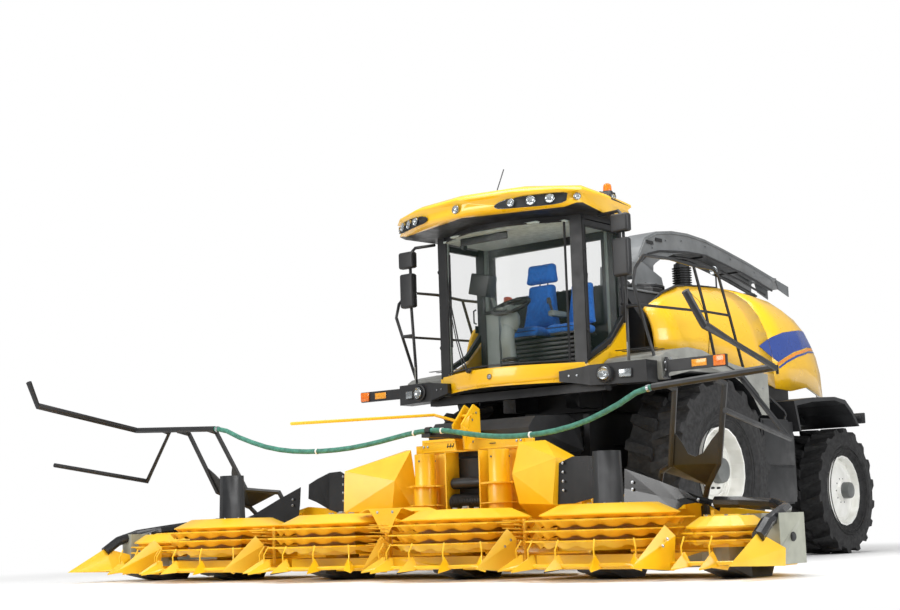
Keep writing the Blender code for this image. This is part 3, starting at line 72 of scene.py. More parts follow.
# Driving sizes of the machine, in metres
FRONT_WHEEL = (1.29, 0.0, 0.922)
REAR_WHEEL = (1.12, 3.163, 0.722)
DRUM_PITCH = 1.50
DRUM_Y = -3.086
DRUM_TOP_Z = 0.60
DRUM_BOTTOM_Z = 0.235
END_DRUM = (3.31, -3.05)
END_DRUM_TOP_Z = 0.47
FEED_DRUM = (0.455, -2.21)
TURRET_Y = 0.95
DOOR_SEAM_Y = 1.85  # between the hood's side panels and its rear doors
AERIAL = (-0.1, -1.38, 0.0)
BEACON = (0.98, -0.965, 0.0)
WHEEL_HUB = Vector((0.02, -1.36, 2.62))
RIM_CENTRE = Vector((0.02, -1.36, 2.632))
EXHAUST = (0.3, 1.52)
MIRROR_X = 1.36
FENDER_X = 1.60

# Thicknesses, in metres
PANE = 0.005
SHEET = 0.003
FILM = 0.001
FILM_LIFT = 0.0035  # keeps a film clear of the flat faces of the curved panel under it


# Colour and materials


def to_linear(colour):
    """Linear RGBA of an sRGB hex colour."""
    values = [int(colour[i:i + 2], 16) / 255 for i in (0, 2, 4)]
    return [v / 12.92 if v <= 0.04045 else ((v + 0.055) / 1.055) ** 2.4 for v in values] + [1.0]


def add_node(material, kind, settings=None, inputs=None, links=None):
    """Add a node, set its properties and sockets, and link (node, output) pairs into its inputs."""
    node = material.node_tree.nodes.new(kind)
    for name, value in (settings or {}).items():
        setattr(node, name, value)
    for name, value in (inputs or {}).items():
        node.inputs[name].default_value = value
    for name, (source, output) in (links or {}).items():
        material.node_tree.links.new(source.outputs[output], node.inputs[name])
    return node


def new_material(name, colour, roughness, metallic=0.0, **sockets):
    """A Principled material; returns it with its shader and an Object coordinate node."""
    material = bpy.data.materials.new(name)
    material.use_nodes = True
    shader = material.node_tree.nodes["Principled BSDF"]
    shader.inputs["Base Color"].default_value = to_linear(colour)
    shader.inputs["Roughness"].default_value = roughness
    shader.inputs["Metallic"].default_value = metallic
    for socket, value in sockets.items():
        shader.inputs[socket.replace("_", " ")].default_value = value
    place = add_node(material, "ShaderNodeTexCoord")
    return material, shader, place


def link(material, source, output, target, socket):
    """Link an output to an input, each by name or number."""
    material.node_tree.links.new(source.outputs[output], target.inputs[socket])


def mm(size):
    """Noise scale whose features are about this many millimetres across."""
    return 1000.0 / size


def bands(size):
    """Wave scale whose bands lie about this many millimetres apart."""
    return mm(size) / 20 * pi


def tint(material, shader, place, colours, size_mm, detail=3.0, spread=(0.35, 0.65)):
    """Vary the base colour between two hex colours over patches of a real size."""
    noise = add_node(material, "ShaderNodeTexNoise", inputs={"Scale": mm(size_mm), "Detail": detail},
                     links={"Vector": (place, "Object")})
    ramp = add_node(material, "ShaderNodeValToRGB", links={"Fac": (noise, "Fac")})
    for stop, position, colour in zip(ramp.color_ramp.elements, spread, colours):
        stop.position = position
        stop.color = to_linear(colour)
    link(material, ramp, "Color", shader, "Base Color")
    return ramp


def gloss(material, shader, place, low, high, size_mm, detail=3.0):
    """Vary the roughness between two values over patches of a real size."""
    noise = add_node(material, "ShaderNodeTexNoise", inputs={"Scale": mm(size_mm), "Detail": detail},
                     links={"Vector": (place, "Object")})
    span = add_node(material, "ShaderNodeMapRange",
                    inputs={"From Min": 0.3, "From Max": 0.7, "To Min": low, "To Max": high},
                    links={"Value": (noise, "Fac")})
    link(material, span, "Result", shader, "Roughness")


def bump(material, shader, place, size_mm, height_mm, strength=1.0, detail=2.0):
    """Raise a noise of a real grain size by a real height."""
    noise = add_node(material, "ShaderNodeTexNoise", inputs={"Scale": mm(size_mm), "Detail": detail},
                     links={"Vector": (place, "Object")})
    raised = add_node(material, "ShaderNodeBump", inputs={"Strength": strength, "Distance": height_mm / 1000},
                      links={"Height": (noise, "Fac")})
    link(material, raised, "Normal", shader, "Normal")
    return raised


def surface(name, colour, roughness, metallic=0.0, clouds=None, patches=None, grain=None, **sockets):
    """A material with clouds of colour, patches of gloss and a grain, passed to tint, gloss and bump."""
    material, shader, place = new_material(name, colour, roughness, metallic, **sockets)
    if clouds:
        tint(material, shader, place, *clouds)
    if patches:
        gloss(material, shader, place, *patches)
    if grain:
        bump(material, shader, place, *grain)
    return material


def header_enamel():
    """The header's enamel: the same paint, sprayed thicker on cut plate, with a painted highlight on its
    sharp edges.
    """
    material, shader, place = new_material("header_enamel", "FAC313", 0.38, Coat_Weight=0.35,
                                           Coat_Roughness=0.15)
    ramp = tint(material, shader, place, ("F8BF0A", "FDC918"), 260)
    # painted highlight: sharp convex edges, found by their pointiness, are mixed towards a pale yellow
    edge = add_node(material, "ShaderNodeNewGeometry")
    edge_highlight = add_node(material, "ShaderNodeMapRange",
                    inputs={"From Min": 0.56, "From Max": 0.68, "To Min": 0.0, "To Max": 0.35},
                    links={"Value": (edge, "Pointiness")})
    mixed = add_node(material, "ShaderNodeMix", {"data_type": "RGBA"}, links={"Factor": (edge_highlight, "Result")})
    link(material, ramp, "Color", mixed, "A")
    mixed.inputs["B"].default_value = to_linear("FFE27A")
    link(material, mixed, "Result", shader, "Base Color")
    bump(material, shader, place, 7, 0.10, 0.5)
    return material


def moulded_black_plastic():
    """Injection moulded polypropylene with a leather grain, as on fenders and covers."""
    material, shader, place = new_material("moulded_black_plastic", "222326", 0.48)
    tint(material, shader, place, ("1D1E20", "2A2B2D"), 300)
    cells = add_node(material, "ShaderNodeTexVoronoi", inputs={"Scale": mm(5)},
                     links={"Vector": (place, "Object")})
    raised = add_node(material, "ShaderNodeBump", inputs={"Strength": 0.35, "Distance": 0.0003},
                      links={"Height": (cells, "Distance")})
    link(material, raised, "Normal", shader, "Normal")
    return material


def amber_lens():
    """Amber acrylic with small moulded prisms."""
    material, shader, place = new_material("amber_lens", "F07A12", 0.15, Coat_Weight=0.6)
    tint(material, shader, place, ("E66A08", "F8891E"), 20)
    cells = add_node(material, "ShaderNodeTexVoronoi", {"distance": "CHEBYCHEV"},
                     {"Scale": mm(7), "Randomness": 0.0}, {"Vector": (place, "Object")})
    raised = add_node(material, "ShaderNodeBump", inputs={"Strength": 0.5, "Distance": 0.001},
                      links={"Height": (cells, "Distance")})
    link(material, raised, "Normal", shader, "Normal")
    return material


def seat_fabric():
    """Flat woven blue upholstery: threads 3 mm apart so that they still show."""
    material, shader, place = new_material("seat_fabric", "1F6BC6", 0.9, Sheen_Weight=0.15)
    tint(material, shader, place, ("1B62B8", "2676D2"), 25, 5.0)
    weave = add_node(material, "ShaderNodeMath", {"operation": "MAXIMUM"})
    for number, axis in enumerate(("X", "Z")):
        threads = add_node(material, "ShaderNodeTexWave", {"bands_direction": axis},
                           {"Scale": bands(3), "Distortion": 0.4}, {"Vector": (place, "Object")})
        link(material, threads, "Fac", weave, number)
    raised = add_node(material, "ShaderNodeBump", inputs={"Strength": 0.5, "Distance": 0.0006},
                      links={"Height": (weave, "Value")})
    link(material, raised, "Normal", shader, "Normal")
    return material


def rubber_mat():
    """Ribbed rubber on floors and steps."""
    material, shader, place = new_material("rubber_mat", "1F2021", 0.7)
    tint(material, shader, place, ("1A1B1C", "2A2B2C"), 40)
    wave = add_node(material, "ShaderNodeTexWave", {"bands_direction": "X"}, {"Scale": bands(16)},
                    {"Vector": (place, "Object")})
    raised = add_node(material, "ShaderNodeBump", inputs={"Strength": 0.6, "Distance": 0.002},
                      links={"Height": (wave, "Fac")})
    link(material, raised, "Normal", shader, "Normal")
    return material


def grille_mesh():
    """Perforated black sheet: round holes 14 mm apart, drawn as dark dots."""
    material, shader, place = new_material("grille_mesh", "232426", 0.5)
    cells = add_node(material, "ShaderNodeTexVoronoi", inputs={"Scale": mm(14), "Randomness": 0.0},
                     links={"Vector": (place, "Object")})
    ramp = add_node(material, "ShaderNodeValToRGB", links={"Fac": (cells, "Distance")})
    ramp.color_ramp.elements[0].position = 0.30
    ramp.color_ramp.elements[0].color = to_linear("060606")
    ramp.color_ramp.elements[1].position = 0.38
    ramp.color_ramp.elements[1].color = to_linear("313335")
    link(material, ramp, "Color", shader, "Base Color")
    return material


# Two-coat enamel over sheet steel, baked: glossy, with a faint orange peel and clear coat
YELLOW = surface("yellow_enamel", "F8C010", 0.32, clouds=(("F7BE0C", "F9C416"), 900),
                 patches=(0.26, 0.40, 160), grain=(9, 0.12, 0.5), Coat_Weight=0.55, Coat_Roughness=0.08)
HEADER_YELLOW = header_enamel()
# Polyester powder coat on steel: fine grained, satin
BLACK = surface("black_powder_coat", "1C1D1F", 0.42, clouds=(("18191B", "232426"), 260),
                patches=(0.36, 0.52, 120), grain=(4, 0.08, 0.5))
PLASTIC = moulded_black_plastic()
# Dark grey enamel on the spout's folded sheet: satin, a little cloudy
GREY = surface("grey_sheet", "6A6D6F", 0.42, clouds=(("646769", "737678"), 220), patches=(0.34, 0.5, 90),
               grain=(6, 0.08, 0.4), Coat_Weight=0.2)
# White enamel on spun steel discs: glossy, with a faint cloud
WHITE = surface("white_rim_enamel", "EDEDE8", 0.35, clouds=(("E2E2DC", "F2F2EE"), 140), grain=(12, 0.1, 0.4),
                Coat_Weight=0.3)
# Vulcanised rubber: matt and black, with greyer, dusty patches
RUBBER = surface("tyre_rubber", "1B1B1C", 0.8, clouds=(("161617", "29292A"), 70, 6.0),
                 patches=(0.62, 0.9, 40), grain=(6, 0.4, 0.5, 4.0))
# Grey-black enamel on castings, a little rough from the sand mould
AXLE = surface("axle_enamel", "2B2C2E", 0.5, clouds=(("242527", "353638"), 90), grain=(5, 0.3, 0.5))
# Painted grey iron casting: dull, pitted by its sand mould
IRON = surface("engine_casting", "4A4B4D", 0.6, 0.3, clouds=(("3E3F41", "565759"), 60), grain=(8, 0.5, 0.6))
# Ground and polished chrome on piston rods: bright, with a faint haze
CHROME = surface("hard_chrome", "D5D7DA", 0.12, 1.0, patches=(0.08, 0.2, 30))
# Zinc plated fasteners: pale, slightly milky metal
ZINC = surface("zinc_plate", "B9BCC0", 0.35, 1.0, clouds=(("A6A9AD", "C9CCD0"), 8))
# Tinted laminated glass: thin sheet, slightly green
GLASS = surface("cab_glass", "43584E", 0.02, clouds=(("3E5349", "495F54"), 900), IOR=1.45, Alpha=0.055,
                Coat_Weight=0.0, Specular_IOR_Level=0.5)
# Clear polycarbonate lamp lens: only its glints show over the bowl
LENS = surface("lamp_glass", "C4CBCE", 0.04, clouds=(("BCC4C8", "CCD3D6"), 60), IOR=1.5, Alpha=0.10)
# Vacuum metallised reflector: mirror bright behind the lens
REFLECTOR = surface("lamp_reflector", "A9ADAF", 0.18, 1.0, patches=(0.12, 0.26, 12))
AMBER = amber_lens()
# Red acrylic tail lens: deep colour under a glossy face
RED = surface("red_lens", "B5121B", 0.15, clouds=(("A30D15", "C51823"), 20), Coat_Weight=0.6)
# Amber reflex strip: glossy and evenly bright
REFLEX = surface("reflex_yellow", "F2A01C", 0.2, clouds=(("E79212", "F9B030"), 14), Coat_Weight=0.5)
FABRIC = seat_fabric()
# Soft-touch grey plastic of the cab's trim, finely grained
INTERIOR = surface("interior_plastic", "77807C", 0.55, clouds=(("6E7773", "828B87"), 200),
                   grain=(3, 0.1, 0.5))
# Pale foam-backed cloth under the roof: soft and dull
HEADLINER = surface("headliner_foam", "B9C4BE", 0.9, clouds=(("AFBAB4", "C3CEC8"), 60), grain=(5, 0.3, 0.5))
MAT = rubber_mat()
# Abrasion sleeve on the hose: green, satin and uneven
HOSE = surface("green_hose_cover", "3C7A68", 0.5, clouds=(("33695A", "468A76"), 45, 4.0), grain=(6, 0.6, 0.6))
GRILLE = grille_mesh()
# Cast vinyl film under clear coat: even colour, smooth and glossy
BLUE_FILM = surface("blue_film", "0A3C93", 0.3, patches=(0.24, 0.36, 120), Coat_Weight=0.5)
ORANGE_FILM = surface("orange_film", "F08A24", 0.3, patches=(0.24, 0.36, 120), Coat_Weight=0.5)
# Black enamel on deep drawn sheet: smooth, with soft reflections
GLOSS_BLACK = surface("pressed_black_sheet", "1B1C1E", 0.25, clouds=(("17181A", "222326"), 240),
                      grain=(10, 0.15, 0.5), Coat_Weight=0.15, Coat_Roughness=0.1)
# Front-silvered glass of the driving mirrors: clear reflections
MIRROR = surface("mirror_glass", "DDE3E6", 0.03, 1.0, patches=(0.02, 0.05, 200))

# One-coat enamels and moulded colours of small parts, each with a faint cloud and grain
CHEEK_GREY, CAP_GREY, FENDER, SCREEN, ORANGE, CLUSTER, DECK_GREY, HUB_GREY = [
    surface(name, colours[0], 0.42, clouds=(colours, 150), grain=(5, 0.08, 0.5), Coat_Weight=0.15)
    for name, colours in (
        ("olive_grey_enamel", ("97998C", "A7A99B")), ("slate_enamel", ("4E555B", "5D656B")),
        ("grey_fender_plastic", ("7F807B", "8F908A")), ("dark_screen", ("15191B", "1D2225")),
        ("orange_red_plastic", ("D9542E", "E5653A")), ("dark_lamp_housing", ("2E3033", "3D4043")),
        ("grey_deck_plastic", ("66696B", "75787A")), ("grey_hub_enamel", ("5A5D5C", "6A6D6B")))]

NODE_FINISH = {
    "yellow_enamel": YELLOW, "black_coat": BLACK, "grey_sheet": GREY, "white_enamel": WHITE,
    "tyre_rubber": RUBBER, "axle_paint": AXLE, "engine_iron": IRON, "chromed_rod": CHROME,
    "tinted_glass": GLASS, "seat_fabric": FABRIC, "interior_plastic": INTERIOR, "hose_rubber": HOSE,
}
# Nodes whose finish differs from their slot's
NODE_EXCEPTIONS = {"header_frame": HEADER_YELLOW, "header_wing_left": HEADER_YELLOW,
                   "header_wing_right": HEADER_YELLOW, "platform_left": PLASTIC, "platform_right": PLASTIC,
                   "rear_fenders": PLASTIC, "feeder_house": PLASTIC}


def finish_nodes():
    """Give each CAD node its slot's finish; every crop drum wears the header's enamel."""
    for part in frame["record"]["subparts"]:
        node = frame["nodes"][part["node"]]
        finish = NODE_EXCEPTIONS.get(part["node"], NODE_FINISH[part["material_slot"]])
        if part["node"].startswith(("drum_", "feed_drum")):
            finish = HEADER_YELLOW
        node.data.materials.clear()
        node.data.materials.append(finish)


# Shapes: most of these functions return a bmesh, and piece() joins such shapes into an object


def place(bm, centre, normal):
    """Turn a shape made round z to a normal, and carry it to its centre."""
    turn = Vector((0, 0, 1)).rotation_difference(Vector(normal)).to_matrix().to_4x4()
    bmesh.ops.transform(bm, matrix=Matrix.Translation(centre) @ turn, verts=bm.verts)
    return bm


def box(low, high, round_off=0.0, segments=2):
    """A block between two corners, with all its edges rounded."""
    bm = bmesh.new()
    bmesh.ops.create_cube(bm, size=1)
    bmesh.ops.scale(bm, vec=[b - a for a, b in zip(low, high)], verts=bm.verts)
    bmesh.ops.translate(bm, vec=[(a + b) / 2 for a, b in zip(low, high)], verts=bm.verts)
    if round_off:
        bmesh.ops.bevel(bm, geom=bm.edges[:], offset=round_off, segments=segments, profile=0.5,
                        affect="EDGES", material=-1)
    return bm


def cylinder(centre, normal, radius, depth, sides=20, taper=1.0, round_off=0.0):
    """A disc or cone that grows from its centre along the normal."""
    bm = bmesh.new()
    bmesh.ops.create_cone(bm, cap_ends=True, segments=sides, radius1=radius, radius2=radius * taper,
                          depth=depth)
    bmesh.ops.translate(bm, vec=(0, 0, depth / 2), verts=bm.verts)
    if round_off:
        far = [e for e in bm.edges if all(abs(v.co.z - depth) < 1e-6 for v in e.verts)]
        bmesh.ops.bevel(bm, geom=far, offset=round_off, segments=2, profile=0.5, affect="EDGES", material=-1)
    return place(bm, centre, normal)


def turned(profile, centre=(0, 0, 0), normal=(0, 0, 1), steps=32):
    """Spin a line of (radius, height) points round an axis."""
    bm = bmesh.new()
    verts = [bm.verts.new((r, 0, h)) for r, h in profile]
    edges = [bm.edges.new(pair) for pair in zip(verts, verts[1:])]
    bmesh.ops.spin(bm, geom=verts + edges, cent=(0, 0, 0), axis=(0, 0, 1), angle=tau, steps=steps,
                   use_merge=True)
    bmesh.ops.remove_doubles(bm, verts=bm.verts, dist=1e-5)
    return place(bm, centre, normal)


def ring(centre, normal, radius, wire, steps=28, sides=8):
    """A round wire bent to a ring."""
    bm = bmesh.new()
    upright = Matrix.Translation((radius, 0, 0)) @ Matrix.Rotation(pi / 2, 4, "X")
    bmesh.ops.create_circle(bm, cap_ends=False, segments=sides, radius=wire, matrix=upright)
    bmesh.ops.spin(bm, geom=bm.verts[:] + bm.edges[:], cent=(0, 0, 0), axis=(0, 0, 1), angle=tau, steps=steps,
                   use_merge=True)
    return place(bm, centre, normal)


def rod(points, radius, sides=8):
    """Extrude a disc along a bent line."""
    points = [Vector(p) for p in points]
    heading = (points[1] - points[0]).normalized()
    bm = bmesh.new()
    bmesh.ops.create_circle(bm, cap_ends=True, segments=sides, radius=radius)
    place(bm, points[0], heading)
    face = bm.faces[:][0]
    for before, point, after in zip(points, points[1:], points[2:] + [None]):
        ahead = (point - before).normalized()
        middle = (ahead + (after - point).normalized()).normalized() if after else ahead
        made = bmesh.ops.extrude_face_region(bm, geom=[face])["geom"]
        verts = [v for v in made if isinstance(v, bmesh.types.BMVert)]
        face = next(f for f in made if isinstance(f, bmesh.types.BMFace))
        bmesh.ops.translate(bm, vec=point - before, verts=verts)
        bmesh.ops.rotate(bm, matrix=heading.rotation_difference(middle).to_matrix(), cent=point, verts=verts)
        heading = middle
    return bm


def plate(outline, thickness):
    """A flat plate: one face from its outline, extruded along its normal."""
    bm = bmesh.new()
    face = bm.faces.new([bm.verts.new(p) for p in outline])
    face.normal_update()
    wall = face.normal * thickness
    made = bmesh.ops.extrude_face_region(bm, geom=[face])["geom"]
    bmesh.ops.translate(bm, vec=wall, verts=[v for v in made if isinstance(v, bmesh.types.BMVert)])
    return bm


def sheet(rows):
    """A bent sheet through rows of points, all rows of one length."""
    bm = bmesh.new()
    bmesh.ops.create_grid(bm, x_segments=len(rows[0]) - 1, y_segments=len(rows) - 1, size=1)
    for vert, point in zip(bm.verts, [point for row in rows for point in row]):
        vert.co = point
    return bm


def curved(points, shares):
    """A smooth curve through points, at the given shares of the way from each to the next."""
    line = []
    for i in range(len(points) - 1):
        p0, p1, p2, p3 = points[max(i - 1, 0)], points[i], points[i + 1], points[min(i + 2, len(points) - 1)]
        for t in shares:
            line.append(0.5 * (2 * p1 + (p2 - p0) * t + (2 * p0 - 5 * p1 + 4 * p2 - p3) * t * t
                               + (3 * p1 - 3 * p2 + p3 - p0) * t ** 3))
    return line + [points[-1]]


def everything(bm):
    """All faces, edges and corners of a bmesh, as its operators take them."""
    return bm.faces[:] + bm.edges[:] + bm.verts[:]


def on_circle(count, radius, start=0.0):
    """Points evenly round a circle; start is the first one's share of a step."""
    turns = [tau * (k + start) / count for k in range(count)]
    return [(radius * cos(turn), radius * sin(turn)) for turn in turns]


def bolt(centre, normal, radius=0.012, depth=0.008):
    """A hexagon head on its washer."""
    centre, normal = Vector(centre), Vector(normal).normalized()
    washer = cylinder(centre, normal, radius * 1.35, depth * 0.3, 14)
    head = cylinder(centre + normal * depth * 0.3, normal, radius, depth, 6, round_off=depth * 0.2)
    return [washer, head]


def bolts_at(rows, radius, depth):
    """Bolts from rows of x, y, z and normal."""
    return [bm for x, y, z, normal in rows for bm in bolt((x, y, z), normal, radius, depth)]


def flipped(shapes, side):
    """Shapes of the left side, moved to the right one where side is -1."""
    for shape in shapes:
        bm = shape[0] if isinstance(shape, tuple) else shape
        if side < 0:
            bmesh.ops.scale(bm, vec=(-1, 1, 1), verts=bm.verts)
    return shapes


def mirrored(shapes):
    """Shapes of the left side with their copies on the right."""
    copies = [(shape[0].copy(), shape[1]) if isinstance(shape, tuple) else shape.copy() for shape in shapes]
    return shapes + flipped(copies, -1)


def piece(name, shapes, finishes, body, smooth=35):
    """Join shapes, each a bmesh or a pair of bmesh and finish number, and let the piece ride on a body."""
    whole = bmesh.new()
    for shape in shapes:
        bm, finish = shape if isinstance(shape, tuple) else (shape, 0)
        bmesh.ops.recalc_face_normals(bm, faces=bm.faces[:])
        for face in bm.faces:
            face.material_index = finish
        part = bpy.data.meshes.new("part")
        bm.to_mesh(part)
        bm.free()
        whole.from_mesh(part)
        bpy.data.meshes.remove(part)
    return settled(name, whole, finishes, body, smooth)


def settled(name, bm, finishes, body, smooth=35):
    """Make a bmesh an object that rides on a body; edges sharper than smooth degrees stay sharp."""
    mesh = bpy.data.meshes.new(name)
    bm.to_mesh(mesh)
    bm.free()
    for material in finishes if isinstance(finishes, (list, tuple)) else [finishes]:
        mesh.materials.append(material)
    mesh.shade_smooth()
    mesh.set_sharp_from_angle(angle=radians(smooth))
    obj = bpy.data.objects.new(name, mesh)
    bpy.context.scene.collection.objects.link(obj)
    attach(obj, body)
    return obj


def repainted(node, finishes, choose, cuts=(), smooth=32):
    """A merged copy of a CAD node in its place, each face finished by where it lies; None drops a face.

    The faces are first split along the cuts, each a plane's point and normal.
    """
    source = frame["nodes"][node]
    bm = bmesh.new()
    bm.from_mesh(source.data)
    bmesh.ops.remove_doubles(bm, verts=bm.verts, dist=1e-5)
    for point, normal in cuts:
        bmesh.ops.bisect_plane(bm, geom=everything(bm), plane_co=point, plane_no=normal)
    dropped = []
    for face in bm.faces:
        finish = choose(face.calc_center_median(), face.normal)
        if finish is None:
            dropped.append(face)
        else:
            face.material_index = finish
    bmesh.ops.delete(bm, geom=dropped, context="FACES")
    obj = settled(node + "_finished", bm, finishes, source["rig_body"], smooth)
    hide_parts(node)


# Header


def distance_to_line(point, line):
    """Least distance from a point to a bent line."""
    best = 10.0
    for a, b in zip(line, line[1:]):
        a, b = Vector(a), Vector(b)
        t = max(0.0, min(1.0, (point - a).dot(b - a) / (b - a).length_squared))
        best = min(best, (point - a.lerp(b, t)).length)
    return best


END_TUBE = ((2.86, -2.43, 0.585), (3.10, -2.44, 0.575), (3.45, -2.56, 0.55), (3.68, -2.80, 0.51),
            (3.76, -3.06, 0.475), (3.78, -3.30, 0.41), (3.79, -3.46, 0.31))


def header_steel():
    """Yellow frame and wings with black sheets, skids and bent tubes, grey end cheeks and dark drum lids."""
    finishes = [HEADER_YELLOW, GLOSS_BLACK, CHEEK_GREY, BLACK]
    yellow, glossy, grey, black = range(4)

    def on_middle(at, normal):
        x = abs(at.x)
        sheets = x > 1.295 and -2.47 < at.y < -2.345 and at.z > 0.6
        skids = at.z < 0.084 or (at.y < -3.31 and at.z < 0.101 and abs(x - DRUM_PITCH / 2) < 0.14)
        hose_clip = x < 0.051 and -2.725 < at.y < -2.2 and 1.279 < at.z < 1.316
        if sheets:
            return glossy
        return black if skids or hose_clip else yellow

    def on_wing(at, normal):
        x = abs(at.x)
        tube = distance_to_line(Vector((x, at.y, at.z)), END_TUBE) < 0.056
        sheets = 1.96 < x < 2.91 and -2.46 < at.y < -2.395 and at.z > 0.5
        skids = at.z < 0.084 or (at.y < -3.425 and at.z < 0.101 and abs(x - DRUM_PITCH * 1.5) < 0.14)
        cheek = x > 2.89 and -3.21 < at.y < -2.245 and 0.099 < at.z < 0.481
        if tube or sheets:
            return glossy
        if skids:
            return black
        return grey if cheek else yellow

    def on_drum(at, normal):
        return int(at.z > DRUM_TOP_Z + 0.0012)

    repainted("header_frame", finishes, on_middle, smooth=14)
    for name, _ in SIDES:
        repainted(f"header_wing_{name}", finishes, on_wing, smooth=14)
        repainted(f"drum_outer_{name}", [HEADER_YELLOW, BLACK], on_drum, smooth=20)


def feed_drums():
    """Upright feeding drums: a plain tube under a dark lid, with toothed discs along it."""
    x, y = FEED_DRUM
    for name, side in SIDES:
        heights = [vert.co.z for vert in frame["nodes"][f"feed_drum_{name}"].data.vertices]
        low, high = min(heights), max(heights)
        tube = turned(((0.0, low), (0.15, low), (0.15, low + 0.03), (0.112, low + 0.05), (0.112, high - 0.33),
                       (0.100, high - 0.30), (0.100, high - 0.004), (0.092, high - 0.001),
                       (0.0, high - 0.001)),
                      (x, y, 0), steps=40)
        lid = turned(((0.0, high), (0.086, high), (0.090, high - 0.003), (0.0, high - 0.004)), (x, y, 0),
                     steps=40)
        shapes = [(tube, 0), (lid, 1)]
        for z in (low + 0.16, low + 0.34, high - 0.31):
            disc = turned(((0.10, z), (0.150, z), (0.150, z + 0.008), (0.10, z + 0.008)), (x, y, 0), steps=40)
            shapes.append((disc, 0))
            for k in range(10):
                fang = tooth(0.147, 0.040, tau * k / 10, z + 0.004, -14, 0.050, 0.007)
                bmesh.ops.translate(fang, vec=(x, y, 0), verts=fang.verts)
                shapes.append((fang, 0))
        for k in range(3):
            turn = tau * k / 3 + 0.4
            plug = cylinder((x + 0.1 * cos(turn), y + 0.1 * sin(turn), high - 0.07),
                            (cos(turn), sin(turn), 0),
                            0.009, 0.006, 12)
            shapes.append((plug, 1))
        drum = piece(f"feed_drum_{name}_tube", flipped(shapes, side), [HEADER_YELLOW, CAP_GREY],
                     f"feed_drum_{name}")
        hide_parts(f"feed_drum_{name}")


def tooth(radius, reach, angle, height, sweep, width, thickness=0.003):
    """A sickle finger on a disc's edge, swept back from its root."""
    outline = []
    for share, half in ((0.0, 1.0), (0.45, 0.62), (1.0, 0.08)):
        for edge in (1, -1):
            turn = angle + radians(sweep) * share * share + edge * half * width / (2 * radius)
            outline.append(((radius + reach * share) * cos(turn), (radius + reach * share) * sin(turn),
                            height))
    order = [outline[i] for i in (0, 2, 4, 5, 3, 1)]
    return plate(order, thickness)


def scalloped_band(radius_low, radius_high, low, high, waves, depth):
    """A ruffled skirt between two discs: its lower edge runs in shallow waves."""
    bm = bmesh.new()
    bmesh.ops.create_cone(bm, cap_ends=False, segments=waves * 6, radius1=radius_low, radius2=radius_high,
                          depth=high - low)
    bmesh.ops.translate(bm, vec=(0, 0, (high + low) / 2), verts=bm.verts)
    for vert in bm.verts:
        if vert.co.z < (low + high) / 2:
            wave = abs(sin(atan2(vert.co.y, vert.co.x) * waves / 2))
            vert.co.z += depth * (1 - wave)
            vert.co.xy *= 1 + 0.035 * wave
    bmesh.ops.solidify(bm, geom=everything(bm), thickness=SHEET)
    return bm


def drum_teeth():
    """Fingers, skirts and fasteners of the crop drums."""
    # name, x, y, top, tip radius, rows of fingers, fingers in a row, sense of rotation
    table = (("inner", DRUM_PITCH / 2, DRUM_Y, DRUM_TOP_Z, 0.69, 3, 34, 1),
             ("outer", DRUM_PITCH * 1.5, DRUM_Y, DRUM_TOP_Z, 0.69, 3, 34, -1),
             ("end", *END_DRUM, END_DRUM_TOP_Z, 0.355, 2, 22, 1))
    # bolts, circle, share of a step that they start at, height over the drum, head radius, head depth
    bolt_circles = {"inner": (6, 0.11, 0.0, 0.004, 0.013, 0.009), "outer": (8, 0.17, 0.5, 0.0, 0.010, 0.007),
                    "end": (4, 0.16, 0.3, 0.0, 0.013, 0.009)}
    low = DRUM_BOTTOM_Z + 0.02
    for name, x, y, top, radius, discs, fingers, sense in table:
        pitch = (top - 0.10 - low) / discs
        count, circle, start, lift, head, depth = bolt_circles[name]
        for side_name, side in SIDES:
            shapes = []
            for k in range(discs):
                z = top - 0.115 - pitch * k
                for i in range(fingers):
                    shapes.append(tooth(radius * 0.86, radius * 0.145, tau * (i + 0.37 * k) / fingers,
                                        z - 0.0035, 9 * sense, 0.05 * radius / 0.69))
                shapes.append(scalloped_band(radius * 0.80, radius * 0.885, z - pitch + 0.012, z - 0.018,
                                             fingers // 2, pitch * 0.35))
            shapes.append(scalloped_band(radius * 0.74, radius * 0.80, top - 0.118, top - 0.092, fingers // 2,
                                         0.008))
            bolts = bolts_at([(a, b, top + lift, (0, 0, 1)) for a, b in on_circle(count, circle, start)],
                             head, depth)
            if name != "end":
                shapes.append(ring((0, 0, top - 0.083), (0, 0, 1), radius * 0.82, 0.007, 48))
            if name == "inner":
                shapes.append(cylinder((0, 0, top), (0, 0, 1), 0.16, lift, 28, 0.96))
                bolts += bolt((0, 0, top + lift), (0, 0, 1), 0.03, 0.018)
            if name == "end":
                lid = ((0, 0.012), (0.09, 0.012), (0.12, 0.002), (0.12, -0.002))
                shapes.append(turned(lid, (0, 0, top), steps=28))
            dressing = [(bm, 0) for bm in shapes] + [(bm, 1) for bm in bolts]
            for bm, _ in dressing:
                bmesh.ops.translate(bm, vec=(x, y, 0), verts=bm.verts)
            piece(f"drum_{name}_fingers_{side_name}", flipped(dressing, side), [HEADER_YELLOW, ZINC],
                  f"drum_{name}_{side_name}")


